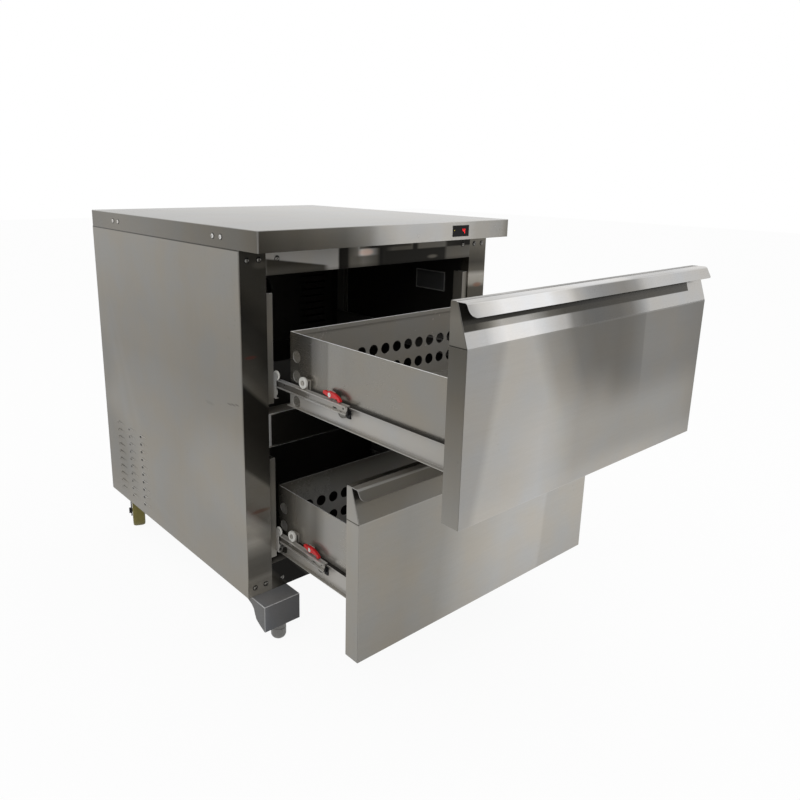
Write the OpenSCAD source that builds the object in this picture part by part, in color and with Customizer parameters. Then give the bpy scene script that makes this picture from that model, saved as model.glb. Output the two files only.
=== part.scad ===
// Drawer freezer for under a counter: a stainless cabinet with two full-width drawers.
// The drawers stand open at rest, the upper one fully and the lower one partly.
// X runs to the right, Y to the back and Z up, in millimetres.
// The origin lies on the floor, in the middle of the freezer with its drawers open.

/* [Cabinet] */
// Width of the cabinet and of the worktop
cab_w = 710; // [640:1:800]
// Height of the body's underside above the floor
floor_gap = 105; // [95:1:130]
// Thickness of an insulated side wall, which is also the width of a front post
wall_t = 60; // [50:1:65]
// Thickness of the insulated rear wall behind the evaporator
rear_wall_t = 50; // [35:1:70]
// Thickness of the stainless sheet
sheet = 1.2; // [0.8:0.1:1.5]
// Depth of the folds behind the front posts and rails
fold_d = 25; // [15:1:40]

/* [Worktop] */
// How far the worktop stands out in front of the body
top_overhang = 67; // [40:1:90]
// Height of the folded apron round the worktop
apron_h = 41; // [34:1:60]
// Width of the hem under the front apron
hem_w = 16; // [8:1:25]
// Radius of the worktop's upright corners
top_corner_r = 3; // [1:0.5:6]

/* [Front frame] */
// Height of the bottom rail
bottom_rail_h = 62; // [50:1:70]
// Height of the opening of the lower drawer
lower_open_h = 268; // [255:1:275]
// Height of the rail between the drawers
middle_rail_h = 73; // [60:1:80]
// Height of the opening of the upper drawer
upper_open_h = 285; // [265:1:295]
// Height of the top rail
top_rail_h = 52; // [40:1:80]
// Depth of the folds of the middle rail
middle_rail_d = 40; // [25:1:60]

/* [Cavity] */
// Space behind the upper drawer when it is shut
upper_back_gap = 50; // [30:1:80]
// Space behind the lower drawer when it is shut
lower_back_gap = 22; // [15:1:40]
// Depth of the space for the evaporator behind its cover
evaporator_room = 138; // [128:1:180]
// Thickness of the insulated wall between the lower drawer and the machinery
step_wall_t = 50; // [40:1:60]

/* [Drawer fronts] */
// Width of a drawer front
front_w = 685; // [660:1:700]
// Height of a drawer front
front_h = 334; // [325:1:345]
// Thickness of a drawer front below its bend
front_t = 34; // [28:1:40]
// Height of the bend above the front's lower edge
bend_h = 270; // [250:1:285]
// Thickness of a drawer front at its top edge
front_top_t = 12.5; // [9:0.5:16]
// Height of the lower front's lower edge above the body's underside
lower_front_z = 36.5; // [32:0.5:40]
// Spacing of the two drawers from each other, upwards
drawer_pitch = 349.3; // [345:0.1:353]
// How far the handle's fold reaches forward from the back of the front
fold_reach = 29; // [26:0.5:36]
// Height of the turned-down handle lip
lip_drop = 20; // [14:0.5:26]
// How far the lower edge of the lip stands out from the face
lip_flare = 6; // [4:0.5:12]
// Radius of the lower corners of the lip
lip_corner_r = 13; // [4:0.5:16]
// Depth of the rubber gasket
gasket_d = 12.7; // [10:0.1:16]
// Width of the rubber gasket
gasket_w = 14; // [10:0.5:16]
// Distance of the gasket from the front's sides and top
gasket_inset = 13; // [8:0.5:15]
// Distance of the gasket from the front's lower edge
gasket_low = 4; // [2:0.5:6]

/* [Drawer boxes] */
// Length of the upper drawer box
upper_box_l = 508; // [480:1:515]
// Length of the lower drawer box
lower_box_l = 341; // [320:1:345]
// Height of a drawer box
box_h = 156; // [140:1:170]
// Height of the box's floor above the front's lower edge
box_low = 34.7; // [33:0.1:37]
// Height of the doubled rim of the box
rim_h = 8; // [5:0.5:12]
// Diameter of the air holes
air_d = 25; // [18:0.5:28]
// Spacing of the air holes along the back of the box
air_pitch = 35.1; // [30:0.1:38]
// Number of air holes on each side of the middle one
air_half_count = 6; // [2:1:6]
// Height of the lower row of air holes above the front's lower edge
air_low_z = 73.7; // [68:0.1:80]
// Spacing of the two rows of air holes
air_row_pitch = 45.5; // [40:0.5:50]
// Distance of the side air holes from the back of the box
side_air_y = 22; // [20:0.5:30]
// Heights of the side air holes above the front's lower edge
side_air_z = [48.7, 102, 142.7];

/* [Slides] */
// Free width between a slide upright and the drawer box
slide_space = 22; // [21.5:0.1:24]
// Width of a slide upright as it shows in the opening
upright_w = 16; // [12:0.5:18]
// Depth of a slide upright
upright_d = 30; // [20:1:35]
// How far the uprights stand behind the front face
upright_back = 4; // [3:0.5:8]
// How far an upright reaches below the slide's middle line
upright_below = 42; // [36:1:45]
// How far an upright reaches above the slide's middle line
upright_above = 187; // [170:1:200]
// Thickness of the slide sheet
slide_t = 1.5; // [1.2:0.1:1.8]
// Height of the slide's middle line above the front's lower edge
slide_z = 79.2; // [77:0.1:82]
// How much shorter than its box a drawer's fixed slides are
slide_shorter = 8; // [4:1:20]
// Height of the slide member that runs between the other two
carriage_h = 16; // [14:0.5:18]
// How much shorter than its box a drawer's running members are
carriage_shorter = 34; // [26:1:50]
// Distance of the closed running member from the front face
carriage_front = 6; // [5:0.5:10]
// Height of the drawer member below the slide's middle line
drawer_member_below = 41; // [39:0.5:42]

/* [Rollers] */
// Radius of the rollers fixed to the cabinet
guide_r = 10; // [8:0.5:10.5]
// Width of the rollers fixed to the cabinet
guide_w = 4; // [3:0.5:4.5]
// Distance of the cabinet rollers from the front face, upper and lower
guide_y = [-1, 8];
// Radius of the drawer wheels and the front rollers
wheel_r = 12; // [10:0.5:12]
// Width of the drawer wheels and the front rollers
wheel_w = 6; // [5:0.5:6]
// Distance of the drawer wheels from the back of the upper and the lower box
wheel_back = [60, 69];
// Distance of the front rollers from the end of the running members
front_roller_y = 18; // [15:0.5:24]
// Radius of the roller pins on the running members
pin_r = 3; // [2.5:0.1:3.5]
// Radius of the roller pins on the cabinet
guide_pin_r = 2.5; // [2:0.1:3]
// Clearance of a roller or latch on its pin
pin_play = 0.06; // [0.04:0.01:0.09]
// Clearance of a roller from the track that it runs on
run_play = 0.15; // [0.1:0.05:0.3]

/* [Latches] */
// Distance of the latch pivot from the end of the running member
latch_y = 52; // [46:0.5:60]
// Height of the latch pivot above the running member
latch_z = 9.5; // [8.5:0.5:11]
// Length of the latch arm in front of its pivot
latch_arm = 32; // [24:1:34]
// Length of the thumb tab behind its pivot
latch_tab = 20; // [12:1:22]

/* [Travel] */
// How far the upper drawer stands open
upper_travel = 520; // [480:1:530]
// How far the lower drawer stands open
lower_travel = 300; // [260:1:310]
// How far the upper running members stand out with it
upper_carriage_travel = 230; // [210:1:245]
// How far the lower running members stand out with it
lower_carriage_travel = 164; // [140:1:170]

/* [Feet and castors] */
// Width of a front foot bracket
bracket_w = 90; // [70:1:100]
// How far a bracket stands out in front of the body
bracket_reach = 50; // [40:1:60]
// Height of a front foot bracket
bracket_h = 59; // [50:1:65]
// Length of a bracket under the body
bracket_back = 60; // [50:1:100]
// Thickness of the bracket sheet
bracket_t = 2.5; // [2:0.5:4]
// Distance of a bracket from the side of the cabinet
bracket_inset = 8; // [4:1:12]
// Radius of a levelling foot
foot_r = 18; // [15:0.5:20]
// Height of the round body of a levelling foot
foot_h = 40; // [34:1:42]
// Radius of the rounding under a levelling foot
foot_round = 11; // [6:0.5:14]
// Radius of the foot's stem
stem_r = 6; // [5:0.5:8]
// Distance of the foot in front of the body
foot_reach = 22; // [20:1:25]
// Radius of a rear castor wheel
castor_r = 45; // [38:1:46]
// Width of a rear castor wheel
castor_w = 33; // [25:1:36]
// Distance of the castor's middle from the side of the cabinet
castor_inset = 44.5; // [40:0.5:50]
// Distance of the castor's axle from the back of the cabinet
castor_back = 63; // [55:1:75]
// How far the castors are swivelled inwards from straight
castor_swivel = 22; // [0:1:45]
// Radius of the castor's axle
axle_r = 5; // [4:0.5:6]
// Thickness of a castor's fork plates
fork_t = 3; // [2:0.5:4]

/* [Louvres] */
// Length of a side louvre
louvre_l = 42; // [30:1:45]
// Height of a side louvre
louvre_h = 7; // [5:0.5:9]
// How far a louvre is pressed out of the side panel
louvre_rise = 2.4; // [1.5:0.1:3]
// Number of louvre rows
louvre_rows = 10; // [4:1:10]
// Spacing of the louvre rows
louvre_pitch_z = 21; // [16:0.5:22]
// Height of the lowest louvre above the body's underside
louvre_low = 26; // [20:1:30]
// Spacing of the louvre columns
louvre_pitch_y = 70.5; // [60:0.5:72]
// Distance of the first louvre opening from the front face
louvre_first_y = 515; // [500:1:530]

/* [Fasteners and controls] */
// Radius of a screw head
screw_head_r = 4; // [3:0.5:5]
// Height of a screw head
screw_head_h = 1.8; // [1:0.1:2.5]
// Radius of a screw shank
screw_r = 2; // [1.5:0.1:2.2]
// Length of a screw shank
screw_l = 8; // [4:0.5:12]
// Width of the controller's window
window_w = 52; // [44:1:60]
// Height of the controller's window
window_h = 25; // [20:1:28]
// Distance of the window's middle from the middle of the cabinet
window_x = 186; // [120:1:220]
// Height of the window's middle above the apron's lower edge
window_z = 20; // [16:0.5:22]
// Depth of the controller's case
controller_d = 45; // [30:1:50]
// Length of the bare rating plate
plate_l = 104; // [80:1:120]
// Height of the bare rating plate
plate_h = 50; // [40:1:60]

/* [Refrigeration] */
// Radius of the evaporator fan
evaporator_fan_r = 75; // [60:1:85]
// Width of the evaporator coil
evaporator_w = 400; // [300:1:460]
// Height of the evaporator coil
evaporator_h = 230; // [180:1:250]
// Thickness of the evaporator coil
evaporator_t = 64; // [50:1:66]
// Radius of the compressor shell
compressor_r = 72; // [60:1:80]
// Height of the compressor above its feet
compressor_h = 175; // [150:1:190]
// Distance of the compressor from the middle of the cabinet
compressor_x = 130; // [90:1:200]
// Length of the condenser coil, front to back
condenser_l = 260; // [220:1:280]
// Height of the condenser coil
condenser_h = 270; // [240:1:290]
// Thickness of the condenser coil
condenser_t = 50; // [35:1:60]
// Radius of the condenser fan
condenser_fan_r = 100; // [80:1:105]
// Radius of a refrigerant tube
tube_r = 4; // [3:0.5:5]

/* [Hidden] */

$fn = 48;

// Which drawer a shape belongs to
UPPER = 0;
LOWER = 1;

// Gap that keeps neighbouring bodies apart
body_gap = 0.3;
half_w = cab_w / 2;
body_z = floor_gap;
body_h = bottom_rail_h + lower_open_h + middle_rail_h + upper_open_h + top_rail_h;
body_top = body_z + body_h;
inner_half = half_w - wall_t;

// Heights of the frame's edges
lower_sill_z = body_z + bottom_rail_h;
middle_low_z = lower_sill_z + lower_open_h;
middle_top_z = middle_low_z + middle_rail_h;
ceiling_z = middle_top_z + upper_open_h;

// The closed drawer fronts stand off by the gasket, and the depths follow from the closed boxes
closed_y = -(gasket_d + body_gap);
step_y = closed_y + lower_box_l + lower_back_gap;
upper_cavity_d = closed_y + upper_box_l + upper_back_gap;
rear_y = upper_cavity_d + evaporator_room;
body_d = rear_y + rear_wall_t;
front_z = [body_z + lower_front_z + drawer_pitch, body_z + lower_front_z];
travel = [upper_travel, lower_travel];
carriage_travel = [upper_carriage_travel, lower_carriage_travel];
box_l = [upper_box_l, lower_box_l];
slide_l = [for (l = box_l) l - slide_shorter];
carriage_l = [for (l = box_l) l - carriage_shorter];

// The whole part is set so that its box is centred, front to back, on the origin
open_front_y = closed_y - max(travel) - front_t - lip_flare;
middle_y = (open_front_y + body_d) / 2;

// Places across a slide, counted inwards from the face of the upright
upright_x = inner_half - upright_w;
guide_gap = 0.8;
guide_x = slide_t + guide_gap;
web_gap = 1.3;
web_x = guide_x + guide_w + web_gap;
flange_x = guide_x + 0.2;
wheel_gap = 0.4;
pin_head_t = 0.6;
wheel_x = guide_x + guide_w + 2 * wheel_gap + pin_head_t - 0.2;
lug_x = wheel_x + wheel_w + wheel_gap;
front_roller_x = web_x + slide_t + 0.5;
member_flange_w = 8;
box_side_x = slide_space;

half_h = carriage_h / 2;
guide_z = half_h + run_play + guide_r;
wheel_z = half_h + run_play + wheel_r;
front_roller_z = -half_h;
member_top = front_roller_z + wheel_r + run_play + slide_t;
guide_web_low = guide_z + guide_r + 1 + slide_t;
guide_web_high = 20;
head_r = 4.5;
lug_half = 9;
latch_top = half_h + latch_z + 6;

slant_angle = atan((front_t - front_top_t) / (front_h - bend_h));
slant_sheet = sheet / cos(slant_angle);
box_half = upright_x - box_side_x;

// Front end of a running member at rest, and the back face of a drawer front at rest
function carriage_y(drawer) = carriage_front - carriage_travel[drawer];
function drawer_y(drawer) = closed_y - travel[drawer];
function slide_mid_z(drawer) = front_z[drawer] + slide_z;

steel = [0.66, 0.65, 0.63];
mirror_steel = [0.42, 0.42, 0.41];
zinc = [0.55, 0.57, 0.58];
foam_yellow = [0.87, 0.80, 0.60];
nylon = [0.90, 0.90, 0.88];
black = [0.06, 0.06, 0.06];
copper = [0.72, 0.45, 0.30];

// Sets the finished shapes down in the part's own frame
module in_place() {
    translate([0, -middle_y, 0]) children();
}

// A box from its lowest corner to its highest
module block(low, high) {
    translate(low) cube(high - low);
}

// The same shape on the left and on the right
module both_sides() {
    children();
    mirror([1, 0, 0]) children();
}

// A rod along X from x0 to x1
module x_rod(x0, x1, y, z, r) {
    translate([x0, y, z]) rotate([0, 90, 0]) cylinder(h = x1 - x0, r = r);
}

// A rod along Y from y0 to y1
module y_rod(y0, y1, x, z, r) {
    translate([x, y0, z]) rotate([-90, 0, 0]) cylinder(h = y1 - y0, r = r);
}

// An outline given in Y and Z, drawn out along X from x0 to x1
module x_prism(x0, x1, points) {
    translate([x0, 0, 0])
        rotate([90, 0, 90])
            linear_extrude(height = x1 - x0) polygon(points);
}

// A plate in X and Y with round upright corners
module round_plate(w, y0, y1, z0, z1, r) {
    translate([0, 0, z0]) linear_extrude(height = z1 - z0) {
        translate([-w / 2 + r, y0]) square([w - 2 * r, y1 - y0]);
        translate([-w / 2, y0 + r]) square([w, y1 - y0 - 2 * r]);
        for (x = [-w / 2 + r, w / 2 - r], y = [y0 + r, y1 - r]) translate([x, y]) circle(r = r);
    }
}

// Screws on the front frame, as x and z, on the left half
post_screw_x = [17, 44];
rail_screw_x = wall_t + 26;
frame_screw_z = [body_z + 20, body_top - 20];
// Screws on the sides of the apron, as distances from the front face
apron_screw_y = [66, 97, 564, 594];
apron_screw_z = body_top + apron_h / 2;

screw_play = 0.05;
over_cut = 1;

// Each screw has a head, and a hole for it starts outside the sheet instead
module screw_set(shank_r, head) {
    front_x = concat(post_screw_x, [rail_screw_x]);
    start = head ? 0 : -over_cut;
    both_sides() {
        for (x = front_x, z = frame_screw_z) {
            y_rod(start, screw_l, -half_w + x, z, shank_r);
            if (head) y_rod(-screw_head_h, 0, -half_w + x, z, screw_head_r);
        }
        for (y = apron_screw_y) {
            x_rod(-half_w + start, -half_w + screw_l, y, apron_screw_z, shank_r);
            if (head) x_rod(-half_w - screw_head_h, -half_w, y, apron_screw_z, screw_head_r);
        }
    }
}

module screw_holes() {
    screw_set(screw_r + screw_play, false);
}

module frame_screws() {
    color(steel) screw_set(screw_r, true);
}

// The room under the worktop's sheet, up to its height z1
module worktop_room(z0, z1) {
    round_plate(cab_w - 2 * sheet, sheet - top_overhang, body_d - sheet, z0, z1,
                top_corner_r - sheet / 2);
}

module worktop() {
    y0 = -top_overhang;
    z1 = body_top + apron_h;
    r = top_corner_r;
    w = cab_w - 2 * sheet;
    color(steel) difference() {
        union() {
            difference() {
                round_plate(cab_w, y0, body_d, body_top, z1, r);
                worktop_room(body_top - 1, z1 - sheet);
            }
            block([-w / 2, y0 + sheet / 2, body_top], [w / 2, y0 + hem_w, body_top + sheet]);
        }
        block([window_x - window_w / 2 + 2, y0 - 1, body_top + window_z - window_h / 2 + 2],
              [window_x + window_w / 2 - 2, y0 + 2 * sheet, body_top + window_z + window_h / 2 - 2]);
        screw_holes();
    }
}

module worktop_board() {
    x = half_w - sheet;
    z1 = body_top + apron_h - sheet;
    color(foam_yellow) difference() {
        intersection() {
            block([-x, 0, body_top], [x, body_d, z1]);
            worktop_room(body_top, z1);
        }
        screw_holes();
    }
}

// Pressed louvres on one side panel, as wedges and their openings
module louvre_set(openings) {
    x = -half_w;
    for (column = [0:2], row = [0:louvre_rows - 1]) {
        y = louvre_first_y + column * louvre_pitch_y;
        z = body_z + louvre_low + row * louvre_pitch_z;
        if (openings) {
            block([x - louvre_rise + 0.6, y - 5, z + 0.8], [x + 2 * sheet, y + 1, z + louvre_h - 0.8]);
        } else {
            translate([0, 0, z]) linear_extrude(height = louvre_h)
                polygon([[x, y - louvre_l], [x - louvre_rise, y],
                         [x + sheet / 2, y], [x + sheet / 2, y - louvre_l]]);
        }
    }
}

module side_panel() {
    difference() {
        union() {
            block([-half_w, 0, body_z], [-half_w + sheet, body_d - sheet, body_top]);
            louvre_set(false);
        }
        louvre_set(true);
    }
}

module left_side_panel() {
    color(steel) side_panel();
}

module right_side_panel() {
    color(steel) mirror([1, 0, 0]) side_panel();
}

rear_slot_l = 110;
rear_slot_h = 5;
rear_slot_pitch = 22;
rear_slot_gap = 25;
rear_slot_side = 20;
rear_slot_low = 60;
inlet_w = 48;
inlet_h = 28;
inlet_side = 125;
inlet_low = 55;
inlet_x = half_w - inlet_side;
inlet_z = body_z + inlet_low;
inlet_d = 24;

module rear_panel() {
    x = half_w;
    color(zinc) difference() {
        block([-x, body_d - sheet, body_z], [x, body_d, body_top]);
        for (column = [-2:1:0], row = [0:7]) {
            slot_x = column * (rear_slot_l + rear_slot_gap) + rear_slot_side;
            slot_z = body_z + rear_slot_low + row * rear_slot_pitch;
            block([slot_x, body_d - 2 * sheet, slot_z],
                  [slot_x + rear_slot_l, body_d + 1, slot_z + rear_slot_h]);
        }
        block([inlet_x - inlet_w / 2, body_d - 2 * sheet, inlet_z - inlet_h / 2],
              [inlet_x + inlet_w / 2, body_d + 1, inlet_z + inlet_h / 2]);
    }
}

module base_tray() {
    x = half_w - sheet;
    color(zinc) block([-x, sheet, body_z], [x, body_d - sheet, body_z + sheet]);
}

module front_post() {
    x0 = -half_w + sheet;
    x1 = -inner_half;
    difference() {
        union() {
            block([x0, 0, body_z], [x1, sheet, body_top]);
            block([x1 - sheet, sheet, body_z + sheet], [x1, fold_d, body_top]);
        }
        screw_holes();
    }
}

module left_front_post() {
    color(mirror_steel) front_post();
}

module right_front_post() {
    color(mirror_steel) mirror([1, 0, 0]) front_post();
}

module top_rail() {
    x = inner_half;
    color(mirror_steel) difference() {
        union() {
            block([-x, 0, ceiling_z], [x, sheet, body_top]);
            block([-x, sheet, ceiling_z], [x, fold_d, ceiling_z + sheet]);
        }
        screw_holes();
    }
}

module middle_rail() {
    x = inner_half;
    d = middle_rail_d;
    color(mirror_steel) {
        block([-x, 0, middle_low_z], [x, sheet, middle_top_z]);
        block([-x, sheet, middle_top_z - sheet], [x, d, middle_top_z]);
        block([-x, sheet, middle_low_z], [x, d, middle_low_z + sheet]);
    }
}

module bottom_rail() {
    x = inner_half;
    color(mirror_steel) difference() {
        union() {
            block([-x, 0, body_z], [x, sheet, lower_sill_z]);
            block([-x, sheet, lower_sill_z - sheet], [x, fold_d, lower_sill_z]);
        }
        screw_holes();
    }
}

// The machinery stands behind the lower drawer and under this height
machine_y = step_y + step_wall_t;
machine_top = middle_top_z - step_wall_t;

module side_foam() {
    outline = [
        [sheet, body_z + sheet], [machine_y, body_z + sheet], [machine_y, machine_top],
        [body_d - sheet, machine_top], [body_d - sheet, body_top], [sheet, body_top]
    ];
    difference() {
        x_prism(-half_w + sheet, -inner_half - sheet, outline);
        screw_holes();
    }
}

module side_insulation() {
    color(foam_yellow) both_sides() side_foam();
}

module wall_insulation() {
    x = inner_half + sheet;
    outline = [
        [sheet, body_z + sheet], [machine_y, body_z + sheet], [machine_y, machine_top],
        [body_d - sheet, machine_top], [body_d - sheet, body_top], [sheet, body_top],
        [sheet, ceiling_z + sheet], [rear_y + sheet, ceiling_z + sheet],
        [rear_y + sheet, middle_top_z - sheet], [step_y + sheet, middle_top_z - sheet],
        [step_y + sheet, lower_sill_z - sheet], [sheet, lower_sill_z - sheet]
    ];
    color(foam_yellow) difference() {
        x_prism(-x, x, outline);
        both_sides() block([-x - 1, 0, body_z], [-inner_half, fold_d, body_top]);
        screw_holes();
    }
}

module inner_liner() {
    x = inner_half;
    shell = [
        [fold_d, lower_sill_z - sheet], [step_y + sheet, lower_sill_z - sheet],
        [step_y + sheet, middle_top_z - sheet], [rear_y + sheet, middle_top_z - sheet],
        [rear_y + sheet, ceiling_z + sheet], [fold_d, ceiling_z + sheet]
    ];
    room = [
        [0, lower_sill_z], [step_y, lower_sill_z], [step_y, middle_top_z],
        [rear_y, middle_top_z], [rear_y, ceiling_z], [0, ceiling_z]
    ];
    color(steel) difference() {
        x_prism(-x - sheet, x + sheet, shell);
        x_prism(-x, x, room);
    }
}

// One slide upright: a channel that opens away from its face
module upright(drawer, y, opens_back) {
    z0 = slide_mid_z(drawer) - upright_below;
    z1 = slide_mid_z(drawer) + upright_above;
    face_y = opens_back ? y : y + upright_d - sheet;
    block([-inner_half, face_y, z0], [-upright_x, face_y + sheet, z1]);
    block([-inner_half, y, z0], [-inner_half + sheet, y + upright_d, z1]);
    block([-upright_x - sheet, y, z0], [-upright_x, y + upright_d, z1]);
}

module slide_uprights() {
    color(zinc) both_sides() {
        for (drawer = [UPPER, LOWER]) {
            upright(drawer, upright_back, true);
            upright(drawer, slide_l[drawer] - upright_d, false);
        }
    }
}

// Moves a shape built across the slide, with x counted inwards, to the left slide of a drawer
module at_slide(drawer, y) {
    translate([-upright_x, y, slide_mid_z(drawer)]) children();
}

module outer_slide(drawer) {
    l = slide_l[drawer];
    low = -guide_web_low;
    front = -4;
    at_slide(drawer, 0) {
        block([0, front, low], [slide_t, l, guide_web_high]);
        x_rod(0, slide_t, guide_y[0], guide_z, guide_r - 3);
        block([slide_t, front, low], [guide_x + guide_w, l, low + slide_t]);
        block([slide_t, guide_y[0] + guide_r + 3, guide_web_high - slide_t],
              [guide_x + guide_w, l, guide_web_high]);
        x_rod(slide_t, guide_x + guide_w, guide_y[0], guide_z, guide_pin_r);
        x_rod(slide_t, guide_x + guide_w, guide_y[1], -guide_z, guide_pin_r);
    }
}

module guide_rollers(drawer, y, z) {
    both_sides() at_slide(drawer, 0) difference() {
        x_rod(guide_x, guide_x + guide_w, y, z, guide_r);
        x_rod(guide_x - 1, guide_x + guide_w + 1, y, z, guide_pin_r + pin_play);
    }
}

// A pin with a flat head that holds a wheel or a latch against its lug
module headed_pin(y, z) {
    x_rod(wheel_x - wheel_gap, lug_x, y, z, pin_r);
    x_rod(wheel_x - wheel_gap - pin_head_t, wheel_x - wheel_gap, y, z, head_r);
}

module running_slide(drawer) {
    l = carriage_l[drawer];
    at_slide(drawer, carriage_y(drawer)) {
        block([web_x, 0, -half_h], [web_x + slide_t, l, half_h]);
        block([flange_x, 0, -half_h], [web_x, l, -half_h + slide_t]);
        block([flange_x, 0, half_h - slide_t], [lug_x + slide_t, l, half_h]);
        block([lug_x, latch_y - lug_half, half_h], [lug_x + slide_t, latch_y + lug_half, latch_top]);
        headed_pin(latch_y, half_h + latch_z);
        x_rod(web_x, front_roller_x + wheel_w + 0.3, front_roller_y, front_roller_z, pin_r);
    }
}

module drawer_wheels(drawer) {
    y = box_l[drawer] - wheel_back[drawer];
    both_sides() at_slide(drawer, drawer_y(drawer)) difference() {
        x_rod(wheel_x, wheel_x + wheel_w, y, wheel_z, wheel_r);
        x_rod(wheel_x - 1, lug_x, y, wheel_z, pin_r + pin_play);
    }
}

module front_rollers(drawer) {
    both_sides() at_slide(drawer, carriage_y(drawer)) difference() {
        x_rod(front_roller_x, front_roller_x + wheel_w, front_roller_y, front_roller_z, wheel_r);
        x_rod(front_roller_x - 1, front_roller_x + wheel_w + 1, front_roller_y, front_roller_z,
              pin_r + pin_play);
    }
}

// A hooked lever: a round boss, a tab behind it and an arm that curves down in front
module latches(drawer) {
    z = half_h + latch_z;
    arm = [
        [4, 6.5], [-8, 6], [-latch_arm + 12, 3], [-latch_arm + 4, -1], [-latch_arm, -6],
        [-latch_arm + 3, -8.5], [-latch_arm + 8, -8], [-latch_arm + 10, -4], [-8, -4], [0, -6]
    ];
    tab = [[0, 5], [latch_tab - 8, 4], [latch_tab - 5, 5.5], [latch_tab, 4], [latch_tab, -1],
           [latch_tab - 8, -3], [0, -6]];
    color("crimson") both_sides() at_slide(drawer, carriage_y(drawer)) difference() {
        translate([0, latch_y, z]) union() {
            x_rod(wheel_x, wheel_x + wheel_w - 0.2, 0, 0, 6.8);
            x_prism(wheel_x, wheel_x + wheel_w - 0.2, arm);
            x_prism(wheel_x, wheel_x + wheel_w - 0.2, tab);
        }
        x_rod(wheel_x - 1, lug_x, latch_y, z, pin_r + pin_play);
    }
}

// Air holes through one side wall of a drawer box and the member fixed to it
module side_air_holes(drawer) {
    y = drawer_y(drawer) + box_l[drawer] - side_air_y;
    for (z = side_air_z) {
        x_rod(-box_half - 2 * slide_t - 1, -box_half + 4 * sheet, y, front_z[drawer] + z, air_d / 2);
    }
}

// The bracket that carries a drawer wheel: a pad on the box, a step and a lug beside the wheel
module wheel_bracket(y) {
    top = wheel_z + 6;
    block([box_side_x - slide_t, y - lug_half, member_top], [box_side_x, y + lug_half, top]);
    block([lug_x, y - lug_half, top - slide_t], [box_side_x, y + lug_half, top]);
    block([lug_x, y - lug_half, half_h + run_play], [lug_x + slide_t, y + lug_half, top]);
    headed_pin(y, wheel_z);
}

module drawer_slide(drawer) {
    l = box_l[drawer];
    x = box_side_x;
    flange = x - slide_t - member_flange_w;
    difference() {
        at_slide(drawer, drawer_y(drawer)) {
            wheel_bracket(l - wheel_back[drawer]);
            block([x - slide_t, 0, -drawer_member_below], [x, l, member_top]);
            block([flange, 0, member_top - slide_t], [x - slide_t, l, member_top]);
            block([flange, 0, -drawer_member_below], [x - slide_t, l, slide_t - drawer_member_below]);
        }
        side_air_holes(drawer);
    }
}

module drawer_box(drawer) {
    l = box_l[drawer];
    z0 = front_z[drawer] + box_low;
    y0 = drawer_y(drawer);
    x = box_half;
    back = y0 + l;
    difference() {
        block([-x, y0, z0], [x, back, z0 + box_h]);
        block([-x + sheet, y0 + sheet, z0 + sheet], [x - sheet, back - sheet, z0 + box_h - rim_h]);
        block([-x + 2 * sheet, y0 + 2 * sheet, z0 + box_h - rim_h - 1],
              [x - 2 * sheet, back - 2 * sheet, z0 + box_h + 1]);
        for (i = [-air_half_count:air_half_count], row = [0, 1]) {
            y_rod(back - 4 * sheet, back + 1, i * air_pitch,
                  front_z[drawer] + air_low_z + row * air_row_pitch, air_d / 2);
        }
        both_sides() side_air_holes(drawer);
    }
}

// Outline of a drawer front, with its skin taken off by the given thicknesses
function front_outline(skin, slant_skin) = [
    [0, skin], [-front_t + skin, skin],
    [-front_t + skin, bend_h + (skin - slant_skin) / tan(slant_angle)],
    [-front_top_t + slant_skin - skin * tan(slant_angle), front_h - skin], [0, front_h - skin]
];

module at_front(drawer) {
    translate([0, drawer_y(drawer), front_z[drawer]]) children();
}

module drawer_front(drawer) {
    x = front_w / 2;
    top_y = -fold_reach;
    low_y = -front_t - lip_flare;
    handle = [
        [-front_top_t, front_h], [top_y, front_h], [low_y, front_h - lip_drop],
        [low_y + sheet, front_h - lip_drop], [top_y + sheet, front_h - sheet],
        [-front_top_t, front_h - sheet]
    ];
    at_front(drawer) difference() {
        union() {
            difference() {
                x_prism(-x, x, front_outline(0, 0));
                x_prism(-x + sheet, x - sheet, front_outline(sheet, slant_sheet));
            }
            x_prism(-x, x, handle);
        }
        both_sides() translate([-x, low_y - 1, front_h - lip_drop]) difference() {
            block([-1, 0, -1], [lip_corner_r, top_y - low_y + 2, lip_corner_r]);
            y_rod(-1, top_y - low_y + 3, lip_corner_r, lip_corner_r, lip_corner_r);
        }
    }
}

module drawer_foam(drawer) {
    x = front_w / 2 - sheet;
    at_front(drawer) color(foam_yellow) difference() {
        x_prism(-x, x, front_outline(sheet, slant_sheet));
        block([-x - 1, -sheet, 0], [x + 1, 1, front_h]);
    }
}

module drawer_inner_panel(drawer) {
    x = front_w / 2 - sheet;
    at_front(drawer) block([-x, -sheet, sheet], [x, 0, front_h - sheet]);
}

module drawer_gasket(drawer) {
    x = front_w / 2 - gasket_inset;
    z0 = gasket_low;
    z1 = front_h - gasket_inset;
    w = gasket_w;
    at_front(drawer) color(black) difference() {
        block([-x, 0, z0], [x, gasket_d, z1]);
        block([-x + w, -1, z0 + w], [x - w, gasket_d + 1, z1 - w]);
    }
}

module controller() {
    x = window_x;
    z = body_top + window_z;
    y = -top_overhang;
    color(black) {
        block([x - window_w / 2, y - 1.5, z - window_h / 2], [x + window_w / 2, y, z + window_h / 2]);
        block([x - window_w / 2 + 2.3, y, z - window_h / 2 + 2.3],
              [x + window_w / 2 - 2.3, y + controller_d, z + window_h / 2 - 2.3]);
    }
}

plate_y = 130;
plate_drop = 71;
plate_z = ceiling_z - plate_drop;

module rating_plate() {
    color(steel) block([inner_half - 1, plate_y - plate_l / 2, plate_z - plate_h / 2],
                       [inner_half, plate_y + plate_l / 2, plate_z + plate_h / 2]);
}

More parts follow.
